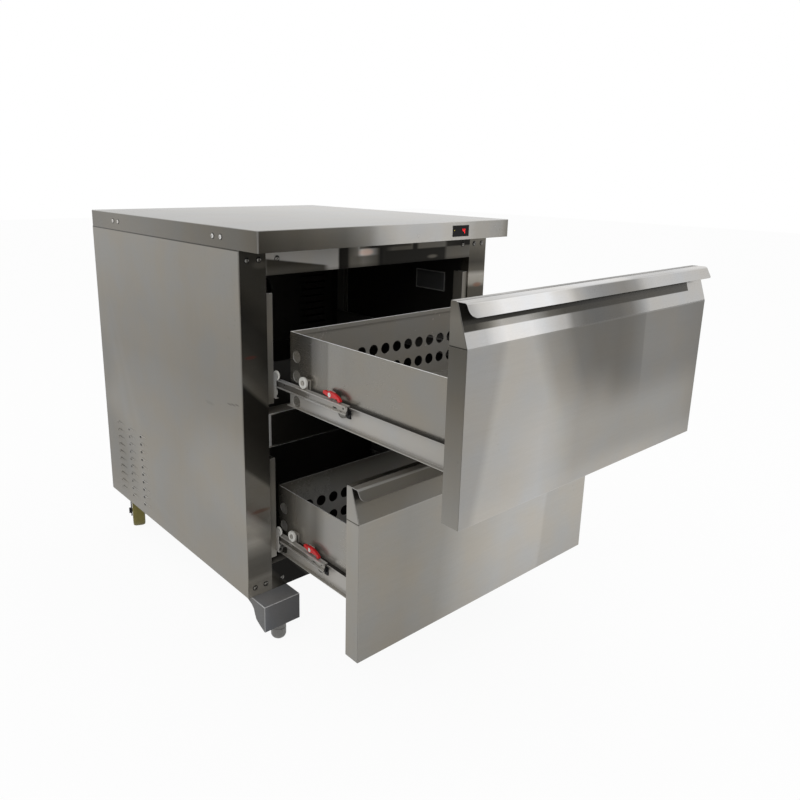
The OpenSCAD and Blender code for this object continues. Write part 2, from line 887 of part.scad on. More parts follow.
// A fan about the Z axis, with its hub on a shaft
module fan(r, hub_r, depth, blades, shaft_r) {
    difference() {
        union() {
            cylinder(h = depth, r = hub_r);
            for (i = [0:blades - 1]) {
                rotate([0, 0, i * 360 / blades])
                    translate([hub_r - 2, 0, depth / 2])
                        rotate([32, 0, 0])
                            translate([0, -r * 0.28, -1])
                                cube([r - hub_r, r * 0.56, 2]);
            }
        }
        translate([0, 0, -1]) cylinder(h = depth + 2, r = shaft_r + pin_play);
    }
}

fan_back = 24;
evaporator_fan_y = upper_cavity_d + fan_back;
evaporator_fan_z = (middle_top_z + ceiling_z) / 2;
fan_depth = 20;
shaft_r = 3;
hub_r = 18;
motor_r = 27;
motor_l = 22;
motor_gap = 2;
motor_arm_t = 3;
fan_ring_play = 8;
cover_slot_l = 90;
cover_slot_h = 6;
cover_slot_pitch = 20;
cover_slot_side = 30;
cover_slot_low = 40;

module evaporator_cover() {
    x = inner_half;
    y = upper_cavity_d;
    color(steel) difference() {
        block([-x, y, middle_top_z], [x, y + sheet, ceiling_z]);
        y_rod(y - 1, y + 2 * sheet, 0, evaporator_fan_z, evaporator_fan_r);
        both_sides() for (row = [0:9]) {
            slot_x = -x + cover_slot_side;
            slot_z = middle_top_z + cover_slot_low + row * cover_slot_pitch;
            block([slot_x, y - 1, slot_z], [slot_x + cover_slot_l, y + 2 * sheet, slot_z + cover_slot_h]);
        }
    }
}

module evaporator_fan() {
    color(black) translate([0, evaporator_fan_y, evaporator_fan_z])
        rotate([90, 0, 0]) translate([0, 0, -fan_depth / 2])
            fan(evaporator_fan_r - fan_ring_play, hub_r, fan_depth, 5, shaft_r);
}

module evaporator_motor() {
    y = evaporator_fan_y + fan_depth / 2 + motor_gap;
    z = evaporator_fan_z;
    t = motor_arm_t;
    arm_r = evaporator_fan_r + fan_ring_play;
    arm_y = upper_cavity_d + sheet;
    arm_end = y + motor_l * 0.8;
    color(zinc) {
        y_rod(y, y + motor_l, 0, z, motor_r);
        y_rod(y - fan_depth, y, 0, z, shaft_r);
        for (a = [45, 135, 225, 315]) {
            translate([0, 0, z]) rotate([0, -a, 0]) {
                block([motor_r * 0.9, arm_end - t, -t], [arm_r + t, arm_end, t]);
                block([arm_r, arm_y, -t], [arm_r + t, arm_end, t]);
            }
        }
    }
}

bend_r = 12;

// A pair of return bends of a coil's tube, from one row to the next
module return_bend(r, pitch) {
    rotate_extrude(angle = 180) translate([pitch / 2, 0]) circle(r = r, $fn = 24);
}

module evaporator_coil() {
    x = evaporator_w / 2;
    y1 = rear_y - 1;
    y0 = y1 - evaporator_t;
    z0 = ceiling_z - evaporator_h;
    fin_pitch = 25;
    fin_t = 8;
    row_pitch = 60;
    rows = [0:floor(evaporator_h / row_pitch) - 1];
    color(zinc) {
        block([-x, y0 + 4, z0 + 4], [x, y1 - 4, ceiling_z - 4]);
        block([-x - 2, y0, z0], [-x, y1, ceiling_z]);
        block([x, y0, z0], [x + 2, y1, ceiling_z]);
        for (fin_x = [-x + fin_pitch:fin_pitch:x - fin_pitch])
            block([fin_x - fin_t / 2, y0, z0], [fin_x + fin_t / 2, y1, ceiling_z]);
        for (row = rows) {
            translate([x + 2, (y0 + y1) / 2, z0 + 40 + row * row_pitch])
                rotate([90, 0, 0]) rotate([0, 0, -90]) return_bend(tube_r, 2 * bend_r);
        }
    }
}

compressor_y = (machine_y + body_d) / 2;
machine_floor = body_z + sheet;
compressor_feet_h = 18;

module compressor() {
    r = compressor_r;
    h = compressor_h;
    z0 = machine_floor + compressor_feet_h;
    color([0.07, 0.07, 0.08]) translate([compressor_x, compressor_y, 0]) {
        translate([0, 0, z0]) rotate_extrude()
            polygon(concat([[0, 0], [r - 12, 0], [r, 14]],
                           [for (a = [0:10:90]) [(r - 30) + 30 * cos(a), h - 45 + 45 * sin(a)]],
                           [[0, h]]));
        block([-r - 12, -r - 4, z0 + 4], [r + 12, r + 4, z0 + 7]);
        for (x = [-r, r], y = [-r + 8, r - 8])
            translate([x, y, machine_floor]) cylinder(h = compressor_feet_h + 4, r = 9);
        translate([-20, -r - 12, z0 + 50]) cube([40, 20, 50]);
    }
}

condenser_x = -half_w + sheet + 6;
condenser_y = compressor_y;
condenser_fan_z = machine_floor + condenser_h / 2;
shroud_x = condenser_x + condenser_t;
shroud_t = 30;
condenser_motor_r = 32;
condenser_motor_l = 45;

module condenser_coil() {
    y0 = condenser_y - condenser_l / 2;
    y1 = condenser_y + condenser_l / 2;
    x1 = condenser_x + condenser_t;
    z1 = machine_floor + condenser_h;
    color(copper) {
        block([condenser_x + 4, y0, machine_floor + 4], [x1 - 4, y1, z1 - 4]);
        for (y = [y0:condenser_l / 12:y1])
            block([condenser_x, y - 3, machine_floor], [x1, y + 3, z1]);
    }
}

module condenser_shroud() {
    y0 = condenser_y - condenser_l / 2;
    y1 = condenser_y + condenser_l / 2;
    x0 = shroud_x;
    x1 = shroud_x + shroud_t;
    z1 = machine_floor + condenser_h;
    t = motor_arm_t;
    ring_r = condenser_fan_r + fan_ring_play;
    motor_x = x1 + fan_ring_play;
    arm_end = motor_x + condenser_motor_l / 2;
    color(zinc) {
        difference() {
            block([x0, y0, machine_floor], [x1, y1, z1]);
            block([x0 - 1, y0 + sheet, machine_floor + sheet], [x1 - sheet, y1 - sheet, z1 - sheet]);
            x_rod(x0, x1 + 1, condenser_y, condenser_fan_z, ring_r);
        }
        x_rod(motor_x, motor_x + condenser_motor_l, condenser_y, condenser_fan_z, condenser_motor_r);
        x_rod(x0 + fan_ring_play / 2, motor_x, condenser_y, condenser_fan_z, shaft_r);
        for (a = [0, 120, 240]) {
            translate([0, condenser_y, condenser_fan_z]) rotate([a, 0, 0]) {
                block([arm_end - t, -t, condenser_motor_r * 0.9], [arm_end, t, ring_r + 2 * t]);
                block([x1 - sheet, -t, ring_r + t], [arm_end, t, ring_r + 2 * t]);
            }
        }
    }
}

module condenser_fan() {
    color(black) translate([shroud_x + fan_ring_play, condenser_y, condenser_fan_z])
        rotate([0, 90, 0]) fan(condenser_fan_r, hub_r, fan_depth, 5, shaft_r);
}

// A tube that follows a list of points, with round joints
module tube_run(points) {
    for (i = [0:len(points) - 2]) {
        a = points[i];
        b = points[i + 1];
        d = b - a;
        l = norm(d);
        translate(a) rotate([0, acos(d[2] / l), atan2(d[1], d[0])]) cylinder(h = l, r = tube_r);
        if (i > 0) translate(a) sphere(r = tube_r);
    }
}

module refrigerant_tubes() {
    head_z = machine_floor + compressor_feet_h + compressor_h;
    end_gap = 0.3;
    coil_top = machine_floor + condenser_h;
    run_z = coil_top + 30;
    hot_x = compressor_x - 30;
    cold_x = compressor_x + 20;
    coil_y = condenser_y + condenser_l / 2 - 40;
    color(copper) {
        tube_run([[hot_x, compressor_y, head_z + end_gap], [hot_x, compressor_y, run_z],
                  [hot_x, coil_y, run_z], [condenser_x + condenser_t / 2, coil_y, run_z],
                  [condenser_x + condenser_t / 2, coil_y, coil_top + end_gap]]);
        tube_run([[cold_x, compressor_y, head_z + end_gap], [cold_x, compressor_y, run_z],
                  [cold_x, compressor_y, machine_top - end_gap]]);
    }
}

module power_inlet() {
    x = inlet_w / 2 - 0.3;
    z = inlet_h / 2 - 0.3;
    color(black) translate([inlet_x, 0, inlet_z]) difference() {
        block([-x, body_d - inlet_d, -z], [x, body_d, z]);
        block([-x + 6, body_d - inlet_d + 4, -z + 5], [x - 6, body_d + 1, z - 5]);
    }
}

bracket_x = -half_w + bracket_inset;
boss_r = 12;
boss_low = foot_h + 22;
foot_x = bracket_x + bracket_w * 0.58;

module foot_bracket() {
    x0 = bracket_x;
    x1 = bracket_x + bracket_w;
    t = bracket_t;
    z1 = body_z;
    z0 = body_z - bracket_h;
    y0 = -bracket_reach;
    d = bracket_reach;
    h = bracket_h;
    web = 10;
    cheek = [
        [y0 + t, z0], [y0 + d * 0.16, z0 + h * 0.04], [y0 + d * 0.44, z0 + h * 0.14],
        [y0 + d * 0.68, z0 + h * 0.26], [y0 + d * 0.78, z0 + h * 0.43], [y0 + d * 0.86, z0 + h * 0.61],
        [y0 + d * 1.02, z0 + h * 0.73], [y0 + d * 1.34, z1 - web],
        [bracket_back, z1 - web], [bracket_back, z1 - t], [y0 + t, z1 - t]
    ];
    difference() {
        union() {
            block([x0, y0, z1 - t], [x1, bracket_back, z1]);
            block([x0, y0, z0], [x1, y0 + t, z1 - t]);
            x_prism(x0, x0 + t, cheek);
            x_prism(x1 - t, x1, cheek);
            translate([foot_x, -foot_reach, boss_low]) cylinder(h = z1 - t - boss_low, r = boss_r);
        }
        translate([foot_x, -foot_reach, boss_low - 1])
            cylinder(h = z1 - t - boss_low - 1, r = stem_r + pin_play);
    }
}

module foot_brackets() {
    color(zinc) both_sides() foot_bracket();
}

// A levelling foot: a round body with a rounded sole, on a stem
module foot() {
    r = foot_r;
    c = foot_round;
    translate([foot_x, -foot_reach, 0]) {
        rotate_extrude()
            polygon(concat([[0, 0]], [for (a = [-90:10:0]) [r - c + c * cos(a), c + c * sin(a)]],
                           [[r, foot_h - 2], [r - 2, foot_h], [0, foot_h]]));
        translate([0, 0, foot_h - 1]) cylinder(h = body_z - bracket_t - 6 - foot_h, r = stem_r);
    }
}

module left_foot() {
    color(zinc) foot();
}

module right_foot() {
    color(zinc) mirror([1, 0, 0]) foot();
}

castor_x = -half_w + castor_inset;
castor_y = body_d - castor_back;
fork_side_gap = 1;
fork_half = castor_w / 2 + fork_side_gap;
fork_plate_half = 32;
fork_plate_edge = 6;
fork_arm_half = 16;
axle_nut_r = 8;
axle_nut_t = 5;

module swivelled() {
    translate([castor_x, castor_y, 0]) rotate([0, 0, -castor_swivel])
        translate([-castor_x, -castor_y, 0]) children();
}

module castor_fork() {
    t = fork_t;
    outer = fork_half + t;
    block([castor_x - outer - fork_plate_edge, castor_y - fork_plate_half, body_z - t],
          [castor_x + outer + fork_plate_edge, castor_y + fork_plate_half, body_z]);
    swivelled() for (side = [-1, 1]) {
        x0 = castor_x + (side > 0 ? fork_half : -outer);
        nut_x = side > 0 ? x0 + t : x0 - axle_nut_t;
        block([x0, castor_y - fork_arm_half, castor_r], [x0 + t, castor_y + fork_arm_half, body_z - t]);
        x_rod(x0, x0 + t, castor_y, castor_r, fork_arm_half);
        x_rod(nut_x, nut_x + axle_nut_t, castor_y, castor_r, axle_nut_r);
    }
    swivelled() x_rod(castor_x - outer, castor_x + outer, castor_y, castor_r, axle_r);
}

module castor_forks() {
    color(black) both_sides() castor_fork();
}

module castor_wheel() {
    r = castor_r;
    w = castor_w / 2;
    crown = 3;
    swivelled() translate([castor_x, castor_y, r]) rotate([0, 90, 0]) rotate_extrude()
        polygon([[axle_r + pin_play, -w], [r - 8, -w], [r - crown, -w + 2], [r, -w + 8],
                 [r, w - 8], [r - crown, w - 2], [r - 8, w], [axle_r + pin_play, w]]);
}

module left_castor_wheel() {
    color("olive") castor_wheel();
}

module right_castor_wheel() {
    color("olive") mirror([1, 0, 0]) castor_wheel();
}

module upper_outer_slides() {
    color(zinc) both_sides() outer_slide(UPPER);
}

module lower_outer_slides() {
    color(zinc) both_sides() outer_slide(LOWER);
}

module upper_running_slides() {
    color(zinc) both_sides() running_slide(UPPER);
}

module lower_running_slides() {
    color(zinc) both_sides() running_slide(LOWER);
}

module upper_drawer_slides() {
    color(zinc) both_sides() drawer_slide(UPPER);
}

module lower_drawer_slides() {
    color(zinc) both_sides() drawer_slide(LOWER);
}

in_place() worktop();
in_place() worktop_board();
in_place() left_side_panel();
in_place() right_side_panel();
in_place() rear_panel();
in_place() base_tray();
in_place() left_front_post();
in_place() right_front_post();
in_place() top_rail();
in_place() middle_rail();
in_place() bottom_rail();
in_place() side_insulation();
in_place() wall_insulation();
in_place() inner_liner();
in_place() slide_uprights();
in_place() upper_outer_slides();
in_place() lower_outer_slides();
in_place() frame_screws();
in_place() controller();
in_place() rating_plate();
in_place() evaporator_coil();
in_place() evaporator_cover();
in_place() evaporator_fan();
in_place() evaporator_motor();
in_place() compressor();
in_place() condenser_coil();
in_place() condenser_shroud();
in_place() condenser_fan();
in_place() refrigerant_tubes();
in_place() power_inlet();
in_place() foot_brackets();
in_place() left_foot();
in_place() right_foot();
in_place() castor_forks();
in_place() left_castor_wheel();
in_place() right_castor_wheel();
in_place() color(steel) drawer_front(UPPER);  // upper_drawer_front
in_place() drawer_foam(UPPER);  // upper_drawer_foam
in_place() color(steel) drawer_inner_panel(UPPER);  // upper_drawer_inner_panel
in_place() drawer_gasket(UPPER);  // upper_drawer_gasket
in_place() color(steel) drawer_box(UPPER);  // upper_drawer_box
in_place() upper_drawer_slides();
in_place() upper_running_slides();
in_place() latches(UPPER);  // upper_latches
in_place() color(nylon) guide_rollers(UPPER, guide_y[0], guide_z);  // upper_top_rollers
in_place() color(nylon) guide_rollers(UPPER, guide_y[1], -guide_z);  // upper_bottom_rollers
in_place() color(nylon) drawer_wheels(UPPER);  // upper_drawer_wheels
in_place() color(nylon) front_rollers(UPPER);  // upper_front_rollers
in_place() color(steel) drawer_front(LOWER);  // lower_drawer_front
in_place() drawer_foam(LOWER);  // lower_drawer_foam
in_place() color(steel) drawer_inner_panel(LOWER);  // lower_drawer_inner_panel
in_place() drawer_gasket(LOWER);  // lower_drawer_gasket
in_place() color(steel) drawer_box(LOWER);  // lower_drawer_box
in_place() lower_drawer_slides();
in_place() lower_running_slides();
in_place() latches(LOWER);  // lower_latches
in_place() color(nylon) guide_rollers(LOWER, guide_y[0], guide_z);  // lower_top_rollers
in_place() color(nylon) guide_rollers(LOWER, guide_y[1], -guide_z);  // lower_bottom_rollers
in_place() color(nylon) drawer_wheels(LOWER);  // lower_drawer_wheels
in_place() color(nylon) front_rollers(LOWER);  // lower_front_rollers
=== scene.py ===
"""Looks of a drawer freezer for under a counter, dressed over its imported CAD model.

Sizes are in millimetres, with X to the right, Y back from the front face of the body and Z up
from the floor. A finished mesh is in metres, in the frame's own place.
"""

import logging
import math
from collections.abc import Callable, Iterable, Sequence
from dataclasses import dataclass
from enum import Enum

import bmesh
import bpy
from mathutils import Matrix, Vector


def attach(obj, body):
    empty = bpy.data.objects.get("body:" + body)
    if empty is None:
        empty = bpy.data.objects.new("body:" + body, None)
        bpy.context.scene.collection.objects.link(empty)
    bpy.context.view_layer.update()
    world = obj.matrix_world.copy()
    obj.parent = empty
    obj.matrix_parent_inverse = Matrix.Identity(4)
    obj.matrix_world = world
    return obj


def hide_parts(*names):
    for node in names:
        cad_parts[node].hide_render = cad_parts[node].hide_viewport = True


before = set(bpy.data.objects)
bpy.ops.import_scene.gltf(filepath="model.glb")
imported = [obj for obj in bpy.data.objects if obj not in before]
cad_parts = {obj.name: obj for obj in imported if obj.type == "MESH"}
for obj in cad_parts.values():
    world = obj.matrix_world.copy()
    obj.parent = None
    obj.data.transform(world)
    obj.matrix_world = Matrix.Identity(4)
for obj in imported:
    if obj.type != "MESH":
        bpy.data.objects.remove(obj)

LOG = logging.getLogger("drawer_freezer")
# Y of the frame's origin, counted from the front face of the body
MIDDLE_Y = 80.0
# Metres in a millimetre
MM = 0.001
# Name of the faces' value that says how strongly the painted highlight lies on their rounded edges
EDGE = "painted_edge_highlight"
# Angle over which an edge is rounded, and angle under which two faces are shaded as one
SHARP_ANGLE = math.radians(40.0)
SMOOTH_ANGLE = 0.55
# Distance within which the corners of a CAD node's triangles are one, and the angle of flat faces
MERGE = 0.01
FLAT_ANGLE = math.radians(1.0)

Point = tuple[float, float, float]
Colour = tuple[float, float, float, float]
Socket = bpy.types.NodeSocket
Feed = Socket | float | Sequence[float]


def linear(level: float) -> float:
    """Turns a screen level from 0 to 255 into linear light."""
    c = level / 255
    return c / 12.92 if c <= 0.04045 else ((c + 0.055) / 1.055) ** 2.4


def tint(red: float, green: float, blue: float) -> Colour:
    """Turns screen levels into a linear colour."""
    return (linear(red), linear(green), linear(blue), 1.0)


def steel_grey(level: float, warmth: float = 1.0) -> Colour:
    """Makes the warm grey of stainless steel.

    Args:
        level: Screen level from 0 to 255.
        warmth: How far the grey leans to brown, with 0 for a neutral one.

    Returns:
        The linear colour.
    """
    lean = warmth * max(1.5, min(level / 8, 9.5, 9.5 - 0.08 * (level - 140)))
    return tint(level + 0.3 * lean, level, max(level - 0.7 * lean, 0))


# Tints that drift over a steel sheet, the tint of its marks and the grey of the painted highlight on its
# rounded edges
WARM_CAST: Colour = (1.03, 0.995, 0.95, 1.0)
COOL_CAST: Colour = (0.985, 1.0, 1.03, 1.0)
MARK_TINT: Colour = (0.62, 0.6, 0.56, 1.0)
EDGE_HIGHLIGHT_GREY = steel_grey(238, 0.5)
# How much lighter the painted highlight makes the rounded edges of moulded pieces, and the colour of the
# dust on them
EDGE_HIGHLIGHT_TINT: Colour = (1.9, 1.9, 1.9, 1.0)
DUST = tint(150, 147, 140)
WHITE: Colour = (1.0, 1.0, 1.0, 1.0)


class Side(Enum):
    """The sides that a face can look to."""

    FRONT = (0.0, -1.0, 0.0)
    BACK = (0.0, 1.0, 0.0)
    LEFT = (-1.0, 0.0, 0.0)
    RIGHT = (1.0, 0.0, 0.0)
    TOP = (0.0, 0.0, 1.0)
    UNDER = (0.0, 0.0, -1.0)


class Grain(Enum):
    """Directions that a sheet can be brushed in, as scales of its streaks."""

    ALONG_X = (30.0, 640.0, 640.0)
    ALONG_Y = (640.0, 30.0, 640.0)
    ALONG_Z = (640.0, 640.0, 30.0)
    NONE = (260.0, 260.0, 260.0)


class NodeBench:
    """Places and joins the nodes of one material or node group."""

    def __init__(self, tree: bpy.types.NodeTree) -> None:
        """Takes the tree to work on."""
        self.tree = tree

    @classmethod
    def cleared(cls, owner: bpy.types.Material | bpy.types.World) -> "NodeBench":
        """Clears the nodes of a material or world.

        Args:
            owner: The material or world.

        Returns:
            A bench for its nodes.
        """
        owner.use_nodes = True
        owner.node_tree.nodes.clear()
        return cls(owner.node_tree)

    def end(self, kind: str, shader: Socket) -> None:
        """Adds an output node of a kind and joins the shader to it."""
        self.feed(self.tree.nodes.new(kind).inputs[0], shader)

    def add(self, kind: str, settings: dict | None = None, feeds: dict | None = None,
            output: int | str = 0) -> Socket:
        """Adds one node.

        Args:
            kind: Type name of the node.
            settings: Properties to set on it.
            feeds: Its inputs by name or number, each a socket to join or a plain value.
            output: The output to give back.

        Returns:
            That output's socket.
        """
        node = self.tree.nodes.new(kind)
        for key, value in (settings or {}).items():
            setattr(node, key, value)
        for key, value in (feeds or {}).items():
            self.feed(node.inputs[key], value)
        return node.outputs[output]

    def feed(self, socket: Socket, value: Feed) -> None:
        """Joins a socket to an input, or sets the input's own value.

        Args:
            socket: The input.
            value: The socket to join, or the plain value.
        """
        if isinstance(value, bpy.types.NodeSocket):
            self.tree.links.new(value, socket)
        else:
            socket.default_value = value

    def math(self, operation: str, a: Feed, b: Feed = 0.0, clamp: bool = False) -> Socket:
        """Adds a Math node on a and b."""
        return self.add("ShaderNodeMath", {"operation": operation, "use_clamp": clamp}, {0: a, 1: b})

    def mix(self, share: Feed, a: Feed, b: Feed, blend: str = "MIX") -> Socket:
        """Adds a colour Mix node that goes from a to b."""
        settings = {"data_type": "RGBA", "blend_type": blend}
        return self.add("ShaderNodeMix", settings, {0: share, 6: a, 7: b}, 2)

    def times(self, a: Feed, b: Feed) -> Socket:
        """Multiplies two colours."""
        return self.mix(1.0, a, b, "MULTIPLY")

    def vector(self, operation: str, a: Feed, b: Feed = (0.0, 0.0, 0.0),
               output: int | str = 0) -> Socket:
        """Adds a Vector Math node on a and b."""
        return self.add("ShaderNodeVectorMath", {"operation": operation}, {0: a, 1: b}, output)

    def dot(self, vector: Feed, direction: Feed) -> Socket:
        """Adds the dot product of a vector and a direction."""
        return self.vector("DOT_PRODUCT", vector, direction, "Value")

    def spot(self) -> Socket:
        """Adds the position on the piece."""
        return self.add("ShaderNodeTexCoord", None, None, "Object")

    def edge_highlight(self) -> Socket:
        """Adds how strongly the painted edge highlight lies on the face."""
        return self.add("ShaderNodeAttribute", {"attribute_name": EDGE}, None, "Fac")

    def spread(self, value: Feed, low: float, high: float, to_low: float = 0.0,
               to_high: float = 1.0, smooth: bool = False) -> Socket:
        """Adds a Map Range node.

        Args:
            value: The value to map.
            low: Where the range starts.
            high: Where it ends.
            to_low: What low becomes.
            to_high: What high becomes.
            smooth: Whether it eases in and out.

        Returns:
            The mapped value.
        """
        kind = "SMOOTHSTEP" if smooth else "LINEAR"
        return self.add("ShaderNodeMapRange", {"interpolation_type": kind},
                        {0: value, 1: low, 2: high, 3: to_low, 4: to_high})

    def ramp(self, value: Feed, stops: Sequence[tuple[float, Colour]]) -> Socket:
        """Adds a colour ramp.

        Args:
            value: Place along the ramp, from 0 to 1.
            stops: Places and their colours.

        Returns:
            The ramp's colour.
        """
        colour = self.add("ShaderNodeValToRGB", None, {0: value})
        ramp = colour.node.color_ramp
        ramp.interpolation = "LINEAR"
        while len(ramp.elements) < len(stops):
            ramp.elements.new(0.5)
        for element, (place, _) in zip(ramp.elements, stops):
            element.position = place
        for element, (_, shade) in zip(ramp.elements, stops):
            element.color = shade
        return colour

    def noise(self, vector: Feed, scale: Feed, detail: float = 2.0, output: int = 0) -> Socket:
        """Adds a noise texture."""
        return self.add("ShaderNodeTexNoise", None,
                        {"Vector": vector, "Scale": scale, "Detail": detail}, output)

    def effect(self, group: bpy.types.NodeTree, feeds: dict, output: str) -> Socket:
        """Adds a node group with its inputs by name."""
        return self.add("ShaderNodeGroup", {"node_tree": group}, feeds, output)


class Effects:
    """The shader node groups that the finishes share, each built once.

    Attributes:
        coarse: Scale of the coarse streaks against the fine ones.
        grit: Scale of the fine grit between the streaks.
        dot_edge: Where a small mark begins to fade and ends.
        dot_fields: Where a field of small marks begins and is full.
        facing_edge: Where a face begins to look one way and does so fully.
        patch_core: Share of a soft patch that is full.
    """

    coarse = 0.23
    grit = 420.0
    dot_edge = (0.07, 0.16)
    dot_fields = (0.55, 0.7)
    facing_edge = (0.62, 0.74)
    patch_core = 0.35

    def __init__(self) -> None:
        """Builds every group."""
        self.brushed = self._brushed()
        self.clouds = self._clouds()
        self.specks = self._specks()
        self.facing = self._facing()
        self.patch = self._patch()

    @staticmethod
    def _group(name: str, inputs: dict[str, str], outputs: dict[str, str]) -> tuple:
        """Starts a group with its sockets.

        Args:
            name: Name of the group.
            inputs: Names and short types of its inputs.
            outputs: Names and short types of its outputs.

        Returns:
            The group, a bench for it, its input node and its output node.
        """
        group = bpy.data.node_groups.new(name, "ShaderNodeTree")
        for side, sockets in (("INPUT", inputs), ("OUTPUT", outputs)):
            for key, kind in sockets.items():
                group.interface.new_socket(key, in_out=side, socket_type="NodeSocket" + kind)
        start = group.nodes.new("NodeGroupInput")
        end = group.nodes.new("NodeGroupOutput")
        return group, NodeBench(group), start.outputs, end.inputs

    @staticmethod
    def _factor(bench: NodeBench, value: Socket, strength: Socket) -> Socket:
        """Turns a value that wavers about a half into a factor that wavers about one.

        Args:
            bench: Bench of the group.
            value: The value.
            strength: How far the factor wavers.

        Returns:
            The factor.
        """
        factor = bench.math("MULTIPLY_ADD", bench.math("SUBTRACT", value, 0.5), strength)
        factor.node.inputs[2].default_value = 1.0
        return factor

    def _brushed(self) -> bpy.types.NodeTree:
        """Builds the fine streaks of brushed sheet.

        Returns:
            The group.
        """
        group, bench, start, end = self._group(
            "brushed_streaks", {"Vector": "Vector", "Streaks": "Vector", "Strength": "Float"},
            {"Factor": "Float", "Height": "Float"})
        moved = bench.vector("MULTIPLY", start["Vector"], start["Streaks"])
        fine = bench.math("MULTIPLY", bench.noise(moved, 1.0, 3.0), 0.4)
        coarse = bench.math("MULTIPLY", bench.noise(moved, self.coarse, 2.0), 0.3)
        grit = bench.math("MULTIPLY", bench.noise(start["Vector"], self.grit, 1.0), 0.3)
        height = bench.math("ADD", fine, bench.math("ADD", coarse, grit))
        bench.feed(end["Factor"], self._factor(bench, height, start["Strength"]))
        bench.feed(end["Height"], height)
        return group

    def _clouds(self) -> bpy.types.NodeTree:
        """Builds the soft mottling of a large sheet.

        Returns:
            The group.
        """
        group, bench, start, end = self._group(
            "soft_clouds", {"Vector": "Vector", "Size": "Float", "Strength": "Float"},
            {"Factor": "Float", "Mask": "Float"})
        mask = bench.noise(start["Vector"], start["Size"], 4.0)
        bench.feed(end["Factor"], self._factor(bench, mask, start["Strength"]))
        bench.feed(end["Mask"], mask)
        return group

    def _specks(self) -> bpy.types.NodeTree:
        """Builds small marks, such as dust and finger marks.

        Returns:
            The group.
        """
        group, bench, start, end = self._group(
            "small_marks", {"Vector": "Vector", "Size": "Float", "Amount": "Float"},
            {"Mask": "Float"})
        cells = bench.add("ShaderNodeTexVoronoi", None,
                          {"Vector": start["Vector"], "Scale": start["Size"]}, "Distance")
        dots = bench.spread(cells, *self.dot_edge, 1.0, 0.0)
        fields = bench.spread(bench.noise(start["Vector"], 9.0, 2.0), *self.dot_fields)
        mask = bench.math("MULTIPLY", bench.math("MULTIPLY", dots, fields), start["Amount"])
        bench.feed(end["Mask"], mask)
        return group

    def _facing(self) -> bpy.types.NodeTree:
        """Builds the mask of the faces that look one way.

        Returns:
            The group.
        """
        group, bench, start, end = self._group(
            "faces_looking", {"Normal": "Vector", "Way": "Vector"}, {"Mask": "Float"})
        aim = bench.dot(start["Normal"], start["Way"])
        bench.feed(end["Mask"], bench.spread(aim, *self.facing_edge, smooth=True))
        return group

    def _patch(self) -> bpy.types.NodeTree:
        """Builds a soft oval patch round a point.

        Returns:
            The group.
        """
        group, bench, start, end = self._group(
            "soft_patch", {"Vector": "Vector", "Middle": "Vector", "Reach": "Vector"},
            {"Mask": "Float"})
        away = bench.vector("SUBTRACT", start["Vector"], start["Middle"])
        length = bench.vector("LENGTH", bench.vector("DIVIDE", away, start["Reach"]), output="Value")
        bench.feed(end["Mask"], bench.spread(length, self.patch_core, 1.0, 1.0, 0.0, True))
        return group


EFFECTS = Effects()


@dataclass(frozen=True)
class Tone:
    """Shades that run along a line of the freezer.

    Attributes:
        along: Direction of the line.
        stops: Places on the line in millimetres, and the shade at each.
        warmth: How far the greys lean to brown.
    """

    along: Point
    stops: tuple[tuple[float, float], ...]
    warmth: float = 1.0

    def place(self, bench: NodeBench, spot: Socket) -> Socket:
        """Adds the tone's nodes.

        Args:
            bench: Bench of the material.
            spot: Position on the piece.

        Returns:
            The colour at that position.
        """
        low, high = self.stops[0][0], self.stops[-1][0]
        shift = MIDDLE_Y * self.along[1]
        run = bench.spread(bench.dot(spot, self.along), (low - shift) * MM, (high - shift) * MM)
        span = high - low
        shades = [((p - low) / span, steel_grey(level, self.warmth)) for p, level in self.stops]
        return bench.ramp(run, shades)


@dataclass(frozen=True)
class Span:
    """A stretch of the freezer along a line, in millimetres.

    Attributes:
        along: Direction of the line.
        start: Where it starts.
        end: Where it ends.
        soft: Half the width of its soft ends.
    """

    along: Point
    start: float
    end: float
    soft: float = 2.0

    def place(self, bench: NodeBench, spot: Socket) -> Socket:
        """Adds the mask of this stretch.

        Args:
            bench: Bench of the material.
            spot: Position on the piece.

        Returns:
            The mask.
        """
        shift = MIDDLE_Y * self.along[1]
        run = bench.dot(spot, self.along)
        s, e, w = (self.start - shift) * MM, (self.end - shift) * MM, self.soft * MM
        rise = bench.spread(run, s - w, s + w, smooth=True)
        fall = bench.spread(run, e - w, e + w, 1.0, 0.0, True)
        return bench.math("MULTIPLY", rise, fall)


@dataclass(frozen=True)
class Patch:
    """A soft oval reflection.

    Attributes:
        middle: Its middle, in millimetres.
        reach: How far it reaches each way, in millimetres.
        level: Its shade.
        strength: How much of that shade shows in its middle.
        colour: A colour to use in place of a grey.
    """

    middle: Point
    reach: Point
    level: float
    strength: float = 1.0
    colour: Colour | None = None

    def place(self, bench: NodeBench, spot: Socket, under: Socket) -> Socket:
        """Lays the patch over a colour.

        Args:
            bench: Bench of the material.
            spot: Position on the piece.
            under: The colour under it.

        Returns:
            The colour with the patch on it.
        """
        x, y, z = self.middle
        mask = bench.effect(EFFECTS.patch, {
            "Vector": spot, "Middle": (x * MM, (y - MIDDLE_Y) * MM, z * MM),
            "Reach": tuple(r * MM for r in self.reach)}, "Mask")
        share = bench.math("MULTIPLY", mask, self.strength)
        return bench.mix(share, under, self.colour or steel_grey(self.level))


